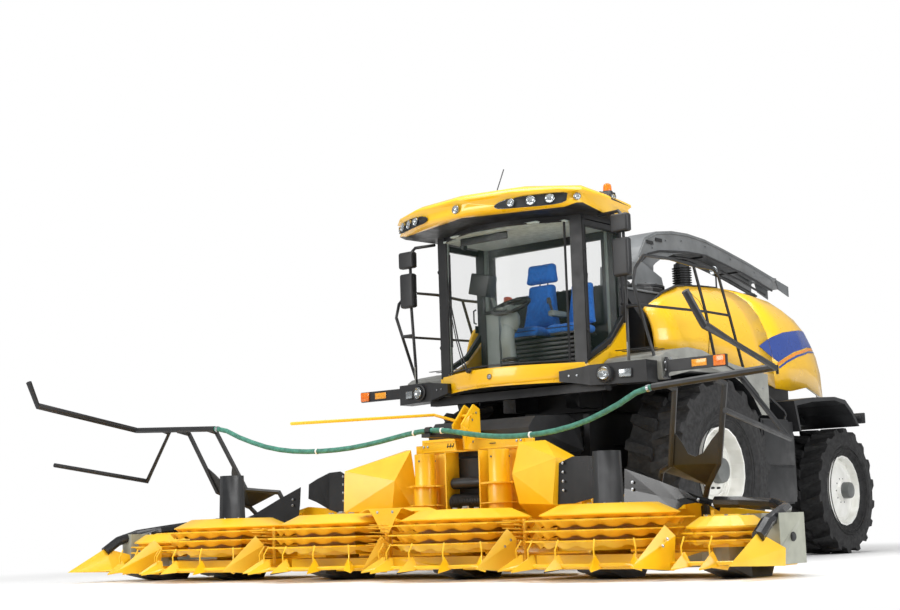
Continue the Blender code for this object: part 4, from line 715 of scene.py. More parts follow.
def tine_fans():
    """Thin curved combs that strip the crop between two drums."""
    for x, sides in ((0.0, SIDES[:1]), (DRUM_PITCH, SIDES)):
        for side_name, side in sides:
            shapes = [rod([(x, -3.24, 0.15), (x, -3.24, 0.50)], 0.014, 8)]
            for level in range(9):
                z = 0.215 + 0.033 * level
                reach = 0.012 * (level % 2)
                for spread in (-1, -0.55, 0.55, 1):
                    shapes.append(rod([(x, -3.24, z), (x + 0.035 * spread, -3.33, z + 0.004),
                                       (x + 0.085 * spread, -3.43 - reach, z + 0.014)], 0.0035, 5))
            piece(f"stripper_comb_{int(x * 10)}_{side_name}", flipped(shapes, side), HEADER_YELLOW, "header")
    for side_name, side in SIDES:
        shapes = [rod([(2.935, -2.62, 0.15), (2.935, -2.62, 0.52)], 0.014, 8)]
        for level in range(8):
            z = 0.215 + 0.036 * level
            for spread in (0.0, 0.5, 1.0):
                shapes.append(rod([(2.935, -2.62, z), (2.955 + 0.03 * spread, -2.70, z + 0.006),
                                   (2.95 + 0.05 * spread, -2.79, z + 0.014)], 0.0035, 5))
        piece(f"stripper_comb_30_{side_name}", flipped(shapes, side), HEADER_YELLOW, f"wing_{side_name}")


def header_fasteners():
    """Bolts, stiffening folds and slots of the header's middle frame, and the rollers in its mouth."""
    # x, y, z, normal of each bolt on the left half
    rows = ((1.552, -3.50, 0.33, (1, -0.15, 0.3)), (1.552, -3.58, 0.28, (1, -0.15, 0.3)),
            (0.064, -2.10, 1.46, (1, 0, 0)), (0.064, -2.04, 1.53, (1, 0, 0)), (0.064, -2.10, 1.25, (1, 0, 0)),
            (0.55, -2.052, 1.235, (0, -1, 0)), (0.60, -2.052, 1.235, (0, -1, 0)),
            (1.34, -2.435, 0.98, (0, -1, 0)),
            (1.34, -2.435, 0.90, (0, -1, 0)), (1.34, -2.437, 0.82, (0, -1, 0)),
            (1.34, -2.437, 0.74, (0, -1, 0)))
    steel = mirrored(bolts_at(rows, 0.009, 0.006) + bolt((0.09, -3.3105, 0.60), (0, -1, 0), 0.010, 0.006))
    web = plate([(0.30, -2.06, 0.32), (0.30, -2.06, 1.16), (0.40, -2.055, 1.16), (0.40, -2.055, 0.32)], 0.006)
    yellow = mirrored([box((0.10, -2.058, 1.175), (0.60, -2.049, 1.190), 0.002),
                       box((0.10, -2.058, 1.272), (0.60, -2.049, 1.290), 0.002),
                       box((0.20, -2.20, 0.32), (0.215, -2.0, 1.16), 0.002), web])
    black = mirrored([box((0.115, -2.0495, 1.205), (0.150, -2.046, 1.212)),
                      box((0.23, -2.058, 1.222), (0.30, -2.046, 1.230), 0.001)])
    for i in range(3):
        x = -0.30 + 0.035 * i
        black.append(rod([(x, -2.0500, 1.212), (x + 0.015, -2.0500, 1.252)], 0.005, 6))
    start, width = -0.185, 0.37
    black += [cylinder((start, -2.11, 0.68), (1, 0, 0), 0.075, width, 20, round_off=0.006),
              cylinder((start, -2.10, 0.86), (1, 0, 0), 0.055, width, 20, round_off=0.006)]
    for i in range(18):
        black.append(ring((-0.17 + 0.02 * i, -2.11, 0.68), (1, 0, 0), 0.078, 0.005, 18, 5))
    finished = [(bm, 0) for bm in steel] + [(bm, 1) for bm in yellow] + [(bm, 2) for bm in black]
    piece("header_fasteners", finished, [ZINC, HEADER_YELLOW, BLACK], "header")


def wing_fasteners():
    """Bolts on the wings' dividers and sheets, the end cheek's cap and a pale tag on the skid."""
    # x, y, z, normal of each bolt on the left wing
    rows = ((3.057, -3.52, 0.31, (1, -0.2, 0.3)), (3.057, -3.59, 0.26, (1, -0.2, 0.3)),
            (3.82, -3.06, 0.33, (1, 0, 0)), (2.06, -2.43, 0.78, (0, -1, 0.1)),
            (2.06, -2.434, 0.72, (0, -1, 0.1)),
            (2.70, -2.437, 0.61, (0, -1, 0.1)), (2.84, -2.443, 0.565, (0, -1, 0.1)))
    for side_name, side in SIDES:
        cap = turned(((0.0, 0.020), (0.028, 0.020), (0.036, 0.012), (0.036, 0.0)), (3.826, -3.00, 0.30),
                     (1, 0, 0), 20)
        tag = box((2.16, -3.424, 0.045), (2.22, -3.414, 0.055), 0.001)
        shapes = [(bm, 0) for bm in bolts_at(rows, 0.010, 0.007)] + [(cap, 1), (tag, 2)]
        piece(f"wing_fasteners_{side_name}", flipped(shapes, side), [ZINC, BLACK, WHITE], f"wing_{side_name}")


# x, y, z of the hose's left half, from the middle clip to the end of the left guide pipe
HOSE_ROUTE = ((0.0, -2.67, 1.345), (0.25, -2.69, 1.325), (0.55, -2.73, 1.275), (0.90, -2.78, 1.232),
              (1.25, -2.83, 1.22), (1.60, -2.87, 1.238), (1.95, -2.90, 1.300), (2.30, -2.932, 1.415),
              (2.47, -2.946, 1.490), (2.6345, -2.9575, 1.5228))
HOSE_RADIUS = 0.024


def hose_cord():
    """The sleeve-covered hose from guide pipe to guide pipe, on the same points as its solid."""
    right = [(-x, y, z) for x, y, z in reversed(HOSE_ROUTE[1:])]
    line = curved([Vector(point) for point in right + list(HOSE_ROUTE)], (0.0, 0.5))
    curve = bpy.data.curves.new("spray_hose", "CURVE")
    curve.dimensions = "3D"
    curve.bevel_depth = HOSE_RADIUS
    curve.bevel_resolution = 4
    curve.use_fill_caps = True
    spline = curve.splines.new("POLY")
    spline.points.add(len(line) - 1)
    for spot, point in zip(spline.points, line):
        spot.co = (*point, 1)
    spline.use_smooth = True
    curve.materials.append(HOSE)
    bent = bpy.data.objects.new("bent", curve)
    hose = bpy.data.objects.new("spray_hose", bpy.data.meshes.new_from_object(bent))
    bpy.data.objects.remove(bent)
    bpy.context.scene.collection.objects.link(hose)
    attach(hose, "header")
    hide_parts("hose")
    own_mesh(hose)
    clips = hose_clips()


def band(centre, normal, radius, width):
    """A band round the hose, just clear of its sleeve."""
    inner, half = HOSE_RADIUS + 0.0005, width / 2
    return turned(((inner, -half), (radius, -half), (radius, half), (inner, half)), centre, normal, 24)


def hose_clips():
    """White bands on the hose, bright ones at the guide pipes, and the clip that holds it in the middle."""
    bands = []
    for x, y, z in ((0.17, -2.683, 1.333), (-0.17, -2.683, 1.333), (1.30, -2.834, 1.221),
                    (-1.30, -2.834, 1.221)):
        bands.append((band((x, y, z), (1, 0.05 if x < 0 else -0.05, 0), 0.0285, 0.018), 0))
    bands += mirrored([(band((2.60, -2.955, 1.517), (1, -0.08, 0.20), 0.030, 0.024), 1)])
    bands += [(box((-0.05, -2.715, 1.300), (0.05, -2.625, 1.3165), 0.004), 2),
              (band(HOSE_ROUTE[0], (1, 0, 0), 0.034, 0.06), 2)]
    clips = piece("hose_clips", bands, [WHITE, ZINC, BLACK], "header")
    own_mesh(clips)
    return clips


# Cab


# x, y of the brow's lower edge from the middle to the corner, on the left half
BROW = ((0.0, -2.17), (0.6, -2.06), (1.0, -1.84), (1.165, -1.68))


def brow_point(x, z, lift=0.0):
    """Point on the roof's brow, lifted off the sheet, and the direction that the sheet faces there."""
    for (x0, y0), (x1, y1) in zip(BROW, BROW[1:]):
        if x <= x1 or x1 == BROW[-1][0]:
            y = y0 + (y1 - y0) * (x - x0) / (x1 - x0)
            out = Vector((abs(y1 - y0), -abs(x1 - x0), 0)).normalized()
            return Vector((x, y + 0.3 * (z - 3.47), z)) + out * lift, out


def round_lamp(centre, normal, radius, depth=0.03):
    """Bezel, bowl, bulb and lens of a round lamp: finishes 0 bezel, 1 reflector, 2 lens."""
    bezel = turned(((radius * 0.86, 0.0), (radius * 1.02, 0.0), (radius, depth * 0.9), (radius * 0.93, depth),
                    (radius * 0.86, depth * 0.7), (radius * 0.86, 0.0)), centre, normal, 28)
    bowl = turned(((0.0, depth * 0.15), (radius * 0.3, depth * 0.2), (radius * 0.65, depth * 0.42),
                   (radius * 0.86, depth * 0.75), (radius * 0.86, 0.0), (0.0, 0.0)), centre, normal, 28)
    bulb = turned(((0.0, depth * 0.6), (radius * 0.16, depth * 0.5), (radius * 0.18, depth * 0.15)), centre,
                  normal, 16)
    lens = turned(((0.0, depth * 1.08), (radius * 0.5, depth * 1.03), (radius * 0.88, depth * 0.86),
                   (radius * 0.88, depth * 0.80), (0.0, depth * 1.0)), centre, normal, 28)
    return [(bezel, 0), (bowl, 1), (bulb, 1), (lens, 2)]


def lamp_cluster(grow, lift):
    """An almond-shaped sheet on the brow, drawn in by grow and lifted off the roof."""
    # x, low z, high z of the almond's outline
    stations = ((0.42, 3.478, 3.500), (0.46, 3.455, 3.525), (0.54, 3.446, 3.546), (0.68, 3.444, 3.562),
                (0.82, 3.446, 3.572), (0.95, 3.452, 3.577), (1.02, 3.466, 3.576), (1.05, 3.490, 3.566))
    columns = []
    for x, low, high in stations:
        if grow:
            middle = (low + high) / 2
            low, high = min(low + grow, middle - 0.001), max(high - grow, middle + 0.001)
        columns.append([brow_point(x, low + (high - low) * k / 4, lift)[0] for k in range(5)])
    bm = sheet(list(zip(*columns)))
    # a back face in the same place, which closes the sheet and deepens its shade
    bmesh.ops.solidify(bm, geom=everything(bm), thickness=0.0)
    return bm


def roof_lamps():
    """Almond-shaped lamp clusters in the roof's brow, and single lamps beside them."""
    half = [(lamp_cluster(0.0, 0.010), 0), (lamp_cluster(0.0075, 0.0125), 3)]
    for x, z, radius in ((0.60, 3.496, 0.040), (0.76, 3.505, 0.046), (0.92, 3.514, 0.046)):
        at, out = brow_point(x, z, 0.012)
        half += round_lamp(at, out + Vector((0, 0, 0.1)), radius, 0.022)
    at, out = brow_point(1.12, 3.53, 0.002)
    half += round_lamp(at, out, 0.036, 0.022)
    middle = round_lamp(brow_point(0.0, 3.512)[0], (0, -1, 0.1), 0.042, 0.022)
    piece("roof_lamps", mirrored(half) + middle, [REFLECTOR, REFLECTOR, LENS, CLUSTER], "chassis")


def roof_trim():
    """Black brackets and painted shade under the yellow roof, the aerial's rubber foot, beacons and side
    lamps.
    """
    def on_roof(at, normal):
        bracket = abs(at.x) > 0.925 and -1.035 < at.y < -0.895 and at.z > 3.58
        bracket = bracket and (abs(normal.z) < 0.9 or at.z > 3.69)
        # painted shade: the roof's downward faces behind a strip along the brow's edge are painted black
        shaded_underside = normal.z < -0.3 and at.z < 3.46 and (at.y > -2.08 + 0.32 * abs(at.x) or abs(at.x) > 1.04)
        return int(at.z > 3.715 or bracket or shaded_underside)

    # the front edge of the painted shade under the roof, as a plane on each side
    cuts = [((0, -2.08, 3.4), (-0.32 * side, 1, 0)) for _, side in SIDES]
    repainted("cab_roof", [YELLOW, BLACK], on_roof, cuts)
    foot = turned(((0.0, 3.765), (0.012, 3.763), (0.018, 3.74), (0.03, 3.725), (0.034, 3.69), (0.0, 3.69)),
                  AERIAL, steps=20)
    piece("aerial_foot", [foot], BLACK, "chassis")
    for name, side in SIDES:
        dome = turned(((0.0, 3.795), (0.02, 3.792), (0.036, 3.780), (0.042, 3.760), (0.044, 3.705),
                       (0.044, 3.70),
                       (0.0, 3.70)), BEACON, steps=24)
        skirt = turned(((0.0, 3.712), (0.050, 3.712), (0.054, 3.70), (0.054, 3.69), (0.0, 3.69)), BEACON,
                       steps=24)
        bracket = box((0.93, -1.04, 3.60), (0.945, -0.90, 3.71), 0.003)
        lamp = round_lamp((1.045, -0.99, 3.64), (1, -0.4, 0), 0.034, 0.03)
        shapes = [(dome, 0), (skirt, 1), (bracket, 1)] + [(bm, 2 + k) for bm, k in lamp]
        piece(f"beacon_{name}", flipped(shapes, side), [AMBER, PLASTIC, PLASTIC, REFLECTOR, LENS], "chassis")


def glazing():
    """Door panes with their seals and grips, the rear window, and black borders of the windscreen."""
    # y, z round the pane of a door
    outline = ((-1.312, 2.062), (-0.95, 2.242), (-0.708, 2.482), (-0.708, 3.338), (-1.312, 3.338))
    for name, side in SIDES:
        pane = plate([(0.903, y, z) for y, z in outline], PANE)
        piece(f"door_glass_{name}", flipped([pane], side), GLASS, f"cab_door_{name}")
        trim = [rod([(0.9255, y, z) for y, z in outline + outline[:1]], 0.006, 6),
                rod([(0.927, -0.74, 2.60), (0.955, -0.745, 2.615), (0.955, -0.745, 2.74),
                     (0.927, -0.74, 2.755)], 0.009, 8),
                box((0.922, -0.76, 2.50), (0.934, -0.715, 2.58), 0.004),
                cylinder((0.925, -1.335, 2.30), (1, 0, 0), 0.02, 0.012, 16),
                cylinder((0.925, -1.335, 3.1), (1, 0, 0), 0.02, 0.012, 16)]
        piece(f"door_trim_{name}", flipped(trim, side), BLACK, f"cab_door_{name}")
    rear = plate([(-0.71, -0.69, 2.44), (0.71, -0.69, 2.44), (0.71, -0.69, 3.31), (-0.71, -0.69, 3.31)], PANE)
    piece("rear_glass", [rear], GLASS, "chassis")
    # x, y of the windscreen's borders, which follow the glass
    plan = ((-0.75, -1.425), (-0.50, -1.565), (-0.25, -1.665), (0.0, -1.705), (0.25, -1.665), (0.50, -1.565),
            (0.75, -1.425))
    borders = [rod([(x, y, z) for x, y in plan], 0.009, 6) for z in (2.012, 3.385)]
    borders += mirrored([rod([(0.757, -1.422, 2.0), (0.757, -1.422, 3.395)], 0.012, 6)])
    piece("windscreen_seal", borders, BLACK, "chassis")


def wiper():
    """A pantograph wiper parked near the right pillar."""
    shapes = [cylinder((-0.28, -1.69, 1.985), (-0.2, -1, 0), 0.028, 0.035, 18, 0.8, 0.004),
              rod([(-0.28, -1.735, 1.995), (-0.42, -1.68, 2.30), (-0.60, -1.57, 2.74)], 0.007, 6),
              rod([(-0.33, -1.715, 1.995), (-0.46, -1.66, 2.30), (-0.63, -1.55, 2.70)], 0.005, 6),
              rod([(-0.60, -1.572, 2.26), (-0.62, -1.553, 2.75), (-0.60, -1.563, 3.22)], 0.008, 6),
              rod([(-0.60, -1.55, 2.26), (-0.60, -1.55, 3.22)], 0.005, 6),
              rod([(-0.60, -1.573, 2.50), (-0.615, -1.585, 2.74), (-0.60, -1.573, 2.98)], 0.006, 6)]
    piece("wiper", shapes, BLACK, "chassis")


def console_finish():
    """Black steering wheel, monitor and foot of the grey console, and the monitor's dark screen."""
    tilt = radians(-28)

    def on_console(at, normal):
        arm = at - WHEEL_HUB
        rim = 0.165 < arm.length < 0.215 and abs(arm.y * sin(tilt) + arm.z * cos(tilt)) < 0.03
        monitor = at.x < -0.255 and at.y < -1.265 and at.z > 2.79
        if monitor and not rim and normal.y >= 0.5:
            return 2
        return int(rim or monitor or at.z < 2.035)

    repainted("console", [INTERIOR, BLACK, SCREEN], on_console)


def wheel_and_monitor():
    """The steering wheel's thick rim and spokes, the monitor on its post, an arm pad and a round housing."""
    shapes = [(ring(RIM_CENTRE, (0, -0.47, 0.883), 0.195, 0.017, 40, 8), 0)]
    for turn in (0.5, 2.64, 4.71):
        along = Vector((cos(turn), sin(turn) * 0.883, sin(turn) * 0.47))
        shapes.append((rod([RIM_CENTRE + along * 0.03, RIM_CENTRE + along * 0.192], 0.011, 8), 0))
    monitor = [(box((-0.475, -1.405, 2.78), (-0.235, -1.262, 3.00), 0.012), 0),
               (box((-0.462, -1.262, 2.79), (-0.248, -1.2595, 2.99), 0.001), 1)]
    turn = Matrix.Rotation(radians(14), 3, "Y")
    for bm, _ in monitor:
        bmesh.ops.rotate(bm, cent=(-0.355, -1.33, 2.89), matrix=turn, verts=bm.verts)
    shapes += monitor
    shapes += [(rod([(-0.355, -1.33, 2.60), (-0.355, -1.33, 2.80)], 0.018, 8), 0),
               (box((-0.425, -1.25, 2.60), (-0.265, -0.84, 2.635), 0.014), 0),
               (cylinder((-0.52, -1.40, 3.30), (0.2, -1, 0), 0.03, 0.06, 16, 0.9, 0.008), 0)]
    piece("wheel_and_monitor", shapes, [BLACK, SCREEN], "chassis")


def cab_trim():
    """Headliner, pillars, rear lining, mat, blind, armrest and levers, steering column and seat bellows."""
    liner = [box((-0.78, -1.44, 3.375), (0.78, -0.72, 3.398), 0.01),
             box((-0.55, -1.60, 3.378), (0.55, -1.42, 3.398), 0.008)]
    piece("headliner", liner, HEADLINER, "chassis")
    pillars = [(box((0.755, -0.74, 1.98), (0.80, -0.675, 3.385), 0.012), 0),
               (box((0.775, -1.365, 1.98), (0.80, -1.335, 3.385), 0.008), 0)]
    rear_lining = box((-0.72, -0.705, 1.98), (0.72, -0.692, 2.43), 0.005)
    mat = box((-0.83, -1.37, 1.9705), (0.83, -0.74, 1.978), 0.002)
    blind = box((-0.50, -1.50, 3.30), (0.10, -1.47, 3.375), 0.01)
    armrest = box((0.28, -1.10, 2.52), (0.36, -0.86, 2.58), 0.018)
    lever = rod([(0.32, -1.07, 2.57), (0.31, -1.10, 2.66)], 0.014)
    knob = cylinder((0.31, -1.104, 2.65), (0, -0.2, 1), 0.026, 0.06, 16, 0.8, 0.012)
    drive_lever = box((-0.34, -1.02, 2.62), (-0.28, -0.93, 2.80), 0.018)
    gaiter = turned(((0.085, 0.0), (0.10, 0.02), (0.085, 0.04), (0.098, 0.06), (0.082, 0.08), (0.094, 0.10),
                     (0.075, 0.12)), (0.02, -1.40, 1.99), (0, -0.1, 1), 24)
    column = turned(((0.0, 0.13), (0.06, 0.12), (0.095, 0.07), (0.10, 0.0), (0.075, -0.08), (0.0, -0.10)),
                    (0.02, -1.385, 2.46), (0, 0.2, 1), 24)
    hub = turned(((0.0, 0.03), (0.045, 0.025), (0.05, 0.0), (0.0, -0.01)), WHEEL_HUB, (0, -0.47, 0.88), 20)
    hoop = ring((-0.12, -1.43, 3.17), (0, 1, 0.2), 0.05, 0.003, 20, 5)
    shapes = mirrored(pillars) + [(rear_lining, 0), (mat, 1), (blind, 2), (armrest, 0), (lever, 2), (knob, 2),
                                  (drive_lever, 3), (gaiter, 2), (column, 0), (hub, 2), (hoop, 2)]
    for k in range(6):
        fold = box((-0.16 - 0.008 * (k % 2), -1.14, 2.035 + 0.045 * k), (0.62, -0.82, 2.075 + 0.045 * k),
                   0.014)
        shapes.append((fold, 2))
    piece("cab_trim", shapes, [INTERIOR, MAT, BLACK, ORANGE], "chassis")


def pad_block(low, high, lean=0.0, shoulders=1.0):
    """Closed start of a cushion: a rounded block, leaned back and drawn in at its top."""
    bm = box(low, high, 0.028, 3)
    middle = (low[0] + high[0]) / 2
    for vert in bm.verts:
        share = (vert.co.z - low[2]) / (high[2] - low[2])
        vert.co.y += lean * share
        vert.co.x = middle + (vert.co.x - middle) * (1 + (shoulders - 1) * share * share)
    return bm


# Voxel of a pad's even mesh and the most that a point of it moves, in metres, and frames of blowing up
PAD_VOXEL = 0.011
PAD_REACH = 0.012
PAD_FRAMES = 20


def puffed(obj):
    """Remesh a pad evenly, blow it up with Cloth pressure and hold each point near where it started."""
    remesh = obj.modifiers.new("even", "REMESH")
    remesh.mode = "VOXEL"
    remesh.voxel_size = PAD_VOXEL
    graph = bpy.context.evaluated_depsgraph_get()
    even = bpy.data.meshes.new_from_object(obj.evaluated_get(graph))
    obj.modifiers.clear()
    even.name = obj.name
    obj.data = even
    cloth = obj.modifiers.new("cloth", "CLOTH")
    cloth.settings.use_pressure = True
    cloth.settings.uniform_pressure_force = 4
    cloth.settings.effector_weights.gravity = 0
    for number in range(1, PAD_FRAMES + 1):
        bpy.context.scene.frame_set(number)
    graph = bpy.context.evaluated_depsgraph_get()
    blown = bpy.data.meshes.new_from_object(obj.evaluated_get(graph))
    obj.modifiers.clear()
    for vert, target in zip(even.vertices, blown.vertices):
        shift = target.co - vert.co
        vert.co += shift.normalized() * min(shift.length, PAD_REACH)
    bpy.data.meshes.remove(blown)
    bpy.context.scene.frame_set(1)
    even.shade_smooth()


def seat_pads():
    """Two upholstered seats: cushions, backs and a headrest, each blown up, on black shells."""
    # name, low corner, high corner, lean, shoulders
    table = (("seat_cushion", (-0.20, -1.235, 2.335), (0.24, -0.83, 2.415), 0.0, 1.0),
             ("seat_back", (-0.20, -0.895, 2.43), (0.24, -0.80, 2.905), 0.040, 0.66),
             ("seat_headrest", (-0.165, -0.862, 2.912), (0.205, -0.765, 3.115), 0.015, 0.84),
             ("buddy_cushion", (0.335, -1.235, 2.335), (0.695, -0.83, 2.405), 0.0, 1.0),
             ("buddy_back", (0.345, -0.885, 2.42), (0.685, -0.81, 2.87), 0.05, 0.70))
    for name, low, high, lean, shoulders in table:
        pad = piece(name, [pad_block(low, high, lean, shoulders)], FABRIC, "chassis", 180)
        puffed(pad)
        smooth = pad.modifiers.new("soft", "SUBSURF")
        smooth.levels = smooth.render_levels = 1
    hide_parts("seats")
    shapes = []
    # middle and half width of each seat
    for x, half in ((0.02, 0.20), (0.515, 0.165)):
        shapes.append(rod([(x - half, -1.24, 2.375), (x + half, -1.24, 2.375)], 0.004, 6))
        for dx in (-0.05, 0.05):
            shapes.append(rod([(x + dx, -0.79, 2.86), (x + dx, -0.775, 2.96)], 0.007, 8))
        shapes.append(box((x - half * 0.9, -1.20, 2.305), (x + half * 0.9, -0.80, 2.338), 0.012))
        shapes.append(box((x - 0.06, -0.81, 2.33), (x + 0.06, -0.775, 2.50), 0.01))
    piece("seat_shells", shapes, BLACK, "chassis")


# Outside of the cab


def platform_finish():
    """Grey moulded fenders and walkways on the black platforms, with rounded mirrors for the plain blocks."""
    def on_platform(at, normal):
        x = abs(at.x)
        large = 2.774 < at.z < 3.135 and 1.268 < x < 1.452
        small = 3.198 < at.z < 3.372 and 1.258 < x < 1.462
        if -1.382 < at.y < -1.303 and (large or small):
            return None
        flank = abs(x - FENDER_X) < 0.003 and abs(normal.x) > 0.9
        top = 1.88 < at.z < 2.112 and normal.z > 0.25 and x < FENDER_X + 0.003
        nose = at.z < 2.12 and normal.y < -0.7 and at.y < -1.0 and x < FENDER_X + 0.003
        return int(flank or top or nose)

    for name, side in SIDES:
        repainted(f"platform_{name}", [BLACK, FENDER], on_platform)
        piece(f"mirrors_{name}", flipped(mirror_heads(), side), [PLASTIC, MIRROR], "chassis")
        piece(f"fender_trim_{name}", flipped(fender_trim(), side), [BLACK, ZINC], "chassis")


def mirror_heads():
    """Rounded housings, glasses and clamps of the two left mirrors."""
    shapes = []
    # low z, high z, half width
    for low, high, half in ((2.770, 3.139, 0.092), (3.195, 3.375, 0.102)):
        left, right = MIRROR_X - half, MIRROR_X + half
        shapes += [(box((left, -1.386, low), (right, -1.299, high), 0.026, 4), 0),
                   (box((left + 0.012, -1.300, low + 0.014), (right - 0.012, -1.2965, high - 0.014), 0.001),
                    1),
                   (box((MIRROR_X - 0.028, -1.32, high - 0.06), (MIRROR_X + 0.032, -1.285, high - 0.03),
                        0.006), 0)]
    return shapes


def fender_trim():
    """Treads along the left walkway, bolts on the fender's flank and the bead round its arch."""
    shapes = []
    for k in range(9):
        y = -0.98 + 0.12 * k
        z = 2.112 - 0.217 * (y + 0.25) if y > -0.25 else 2.105
        shapes.append((box((1.00, y - 0.02, z), (1.40, y + 0.02, z + 0.006), 0.002), 0))
    # y, z on the flank
    bolts = ((-0.95, 1.98), (-0.5, 2.0), (0.5, 1.88), (0.85, 1.78))
    shapes += [(bm, 1) for bm in bolts_at([(FENDER_X + 0.0005, y, z, (1, 0, 0)) for y, z in bolts], 0.010,
                                          0.006)]
    arch = ((-1.08, 1.80), (-0.86, 1.915), (-0.55, 1.985), (0.0, 2.0), (0.42, 1.90), (0.72, 1.72),
            (0.88, 1.54))
    shapes.append((rod([(FENDER_X + 0.004, y, z) for y, z in arch], 0.008, 6), 0))
    return shapes


def driving_lamps():
    """Round headlamps and square flood lamps on the light boxes."""
    headlamp = (1.16, -1.4455, 1.845)
    half = round_lamp(headlamp, (0.25, -1, 0), 0.062, 0.030)
    surround = ((0.064, 0.0), (0.086, 0.0), (0.086, 0.010), (0.072, 0.016), (0.064, 0.010), (0.064, 0.0))
    half.append((turned(surround, headlamp, (0, -1, 0), 32), 3))
    flood_x, flood_y = 1.352, -1.372
    flood_turn = Matrix.Rotation(radians(15.2), 3, "Z")
    # low corner, high corner, rounding, finish of the flood lamp's frame, bowl and lens, before it is turned
    for low, high, round_off, finish in (((1.285, -0.012, 1.795), (1.420, 0.012, 1.885), 0.008, 3),
                                         ((1.295, -0.0155, 1.805), (1.410, 0.0, 1.875), 0.004, 1),
                                         ((1.293, -0.0175, 1.803), (1.412, -0.0145, 1.877), 0.0015, 2)):
        bm = box(low, high, round_off)
        bmesh.ops.translate(bm, vec=(-flood_x, 0, 0), verts=bm.verts)
        bmesh.ops.rotate(bm, matrix=flood_turn, verts=bm.verts)
        bmesh.ops.translate(bm, vec=(flood_x, flood_y, 0), verts=bm.verts)
        half.append((bm, finish))
    bolts = [(x, -1.515 + 0.27 * (x - 0.8), 1.85, (0.25, -1, 0)) for x in (0.80, 0.88)]
    half += [(bm, 4) for bm in bolts_at(bolts, 0.007, 0.005)]
    piece("driving_lamps", mirrored(half), [REFLECTOR, REFLECTOR, LENS, PLASTIC, ZINC], "chassis")


def indicator_lenses():
    """Amber and red lenses, reflex strip and hinge of the folding arms."""
    for name, side in SIDES:
        shapes = [(box((2.165, -1.137, 1.846), (2.286, -1.116, 1.944), 0.008), 0),
                  (box((2.165, -1.082, 1.846), (2.286, -1.066, 1.944), 0.008), 1),
                  (box((1.925, -1.1175, 1.862), (2.085, -1.113, 1.928), 0.002), 2),
                  (box((1.612, -1.108, 1.845), (1.655, -1.060, 1.945), 0.008), 3),
                  (cylinder((1.634, -1.08, 1.935), (0, 0, 1), 0.024, 0.03, 18, round_off=0.005), 3)]
        bolts = [(1.634, -1.108, z, (0, -1, 0)) for z in (1.93, 1.86)]
        shapes += [(bm, 4) for bm in bolts_at(bolts, 0.007, 0.005)]
        piece(f"indicator_lens_{name}", flipped(shapes, side), [AMBER, RED, REFLEX, PLASTIC, ZINC],
              f"indicator_{name}")


# Body


def film(outline, node, side, low, high):
    """A film laid on a hood panel: an outline in y, z, cut at two seams. None where it misses the panel."""
    if not any(low < y < high for y, _ in outline):
        return None
    bm = bmesh.new()
    bm.faces.new([bm.verts.new((0, y, z)) for y, z in outline])
    for seam, sign in ((low, -1), (high, 1)):
        bmesh.ops.bisect_plane(bm, geom=everything(bm), plane_co=(0, seam, 0), plane_no=(0, sign, 0),
                               clear_outer=True)
    columns = [((0, low + 0.05 * k, 0), (0, 1, 0)) for k in range(1, int((high - low) / 0.05) + 1)]
    rows = [((0, 0, 2.0 + 0.04 * k), (0, 0, 1)) for k in range(24)]
    for point, normal in columns + rows:
        bmesh.ops.bisect_plane(bm, geom=everything(bm), plane_co=point, plane_no=normal)
    panel = frame["nodes"][node].data
    tree = BVHTree.FromPolygons([v.co[:] for v in panel.vertices], [p.vertices[:] for p in panel.polygons])
    missed = []
    for vert in bm.verts:
        spot = tree.ray_cast(Vector((side * 1.6, vert.co.y, vert.co.z)), Vector((-side, 0, 0)))[0]
        if spot is None or abs(spot.x) < 0.7:
            missed.append(vert)
        else:
            vert.co = spot + Vector((side * FILM_LIFT, 0, 0.0005))
    bmesh.ops.delete(bm, geom=missed, context="VERTS")
    if not bm.faces:
        bm.free()
        return None
    bmesh.ops.solidify(bm, geom=everything(bm), thickness=FILM)
    return bm


def hood_films():
    """The waved band and its two stripes on the hood's flanks, and the dark seam ahead of them."""
    # y, z round each film
    band = ((1.576, 2.313), (1.743, 2.376), (1.949, 2.445), (2.276, 2.523), (2.78, 2.592), (3.02, 2.60),
            (3.20, 2.585), (3.235, 2.41), (2.818, 2.384), (2.424, 2.305), (2.152, 2.22), (1.979, 2.158),
            (1.758, 2.232))
    orange = ((1.950, 2.140), (2.180, 2.218), (2.455, 2.296), (2.870, 2.376), (3.235, 2.402), (3.235, 2.384),
              (2.875, 2.356), (2.465, 2.276), (2.195, 2.198), (1.968, 2.124))
    blue = ((1.975, 2.104), (2.190, 2.189), (2.462, 2.267), (2.845, 2.342), (3.232, 2.371), (3.232, 2.353),
            (2.850, 2.322), (2.472, 2.247), (2.205, 2.168), (1.992, 2.085))
    seam = ((0.425, 2.15), (0.434, 2.15), (0.558, 2.62), (0.635, 2.87), (0.625, 2.87), (0.549, 2.62))
    films = (("wave_band", band, BLUE_FILM), ("wave_orange", orange, ORANGE_FILM),
             ("wave_line", blue, BLUE_FILM),
             ("panel_seam", seam, BLACK))
    gap = 0.004
    for name, outline, finish in films:
        for side_name, side in SIDES:
            # node, body, ends of the panel along y
            for node, body, low, high in (
                    (f"side_panel_{side_name}", "chassis", 0.0, DOOR_SEAM_Y - gap),
                    (f"rear_door_{side_name}", f"rear_door_{side_name}", DOOR_SEAM_Y + gap, 4.0)):
                bm = film(outline, node, side, low, high)
                if bm:
                    piece(f"{name}_{node}", [bm], finish, body, 60)


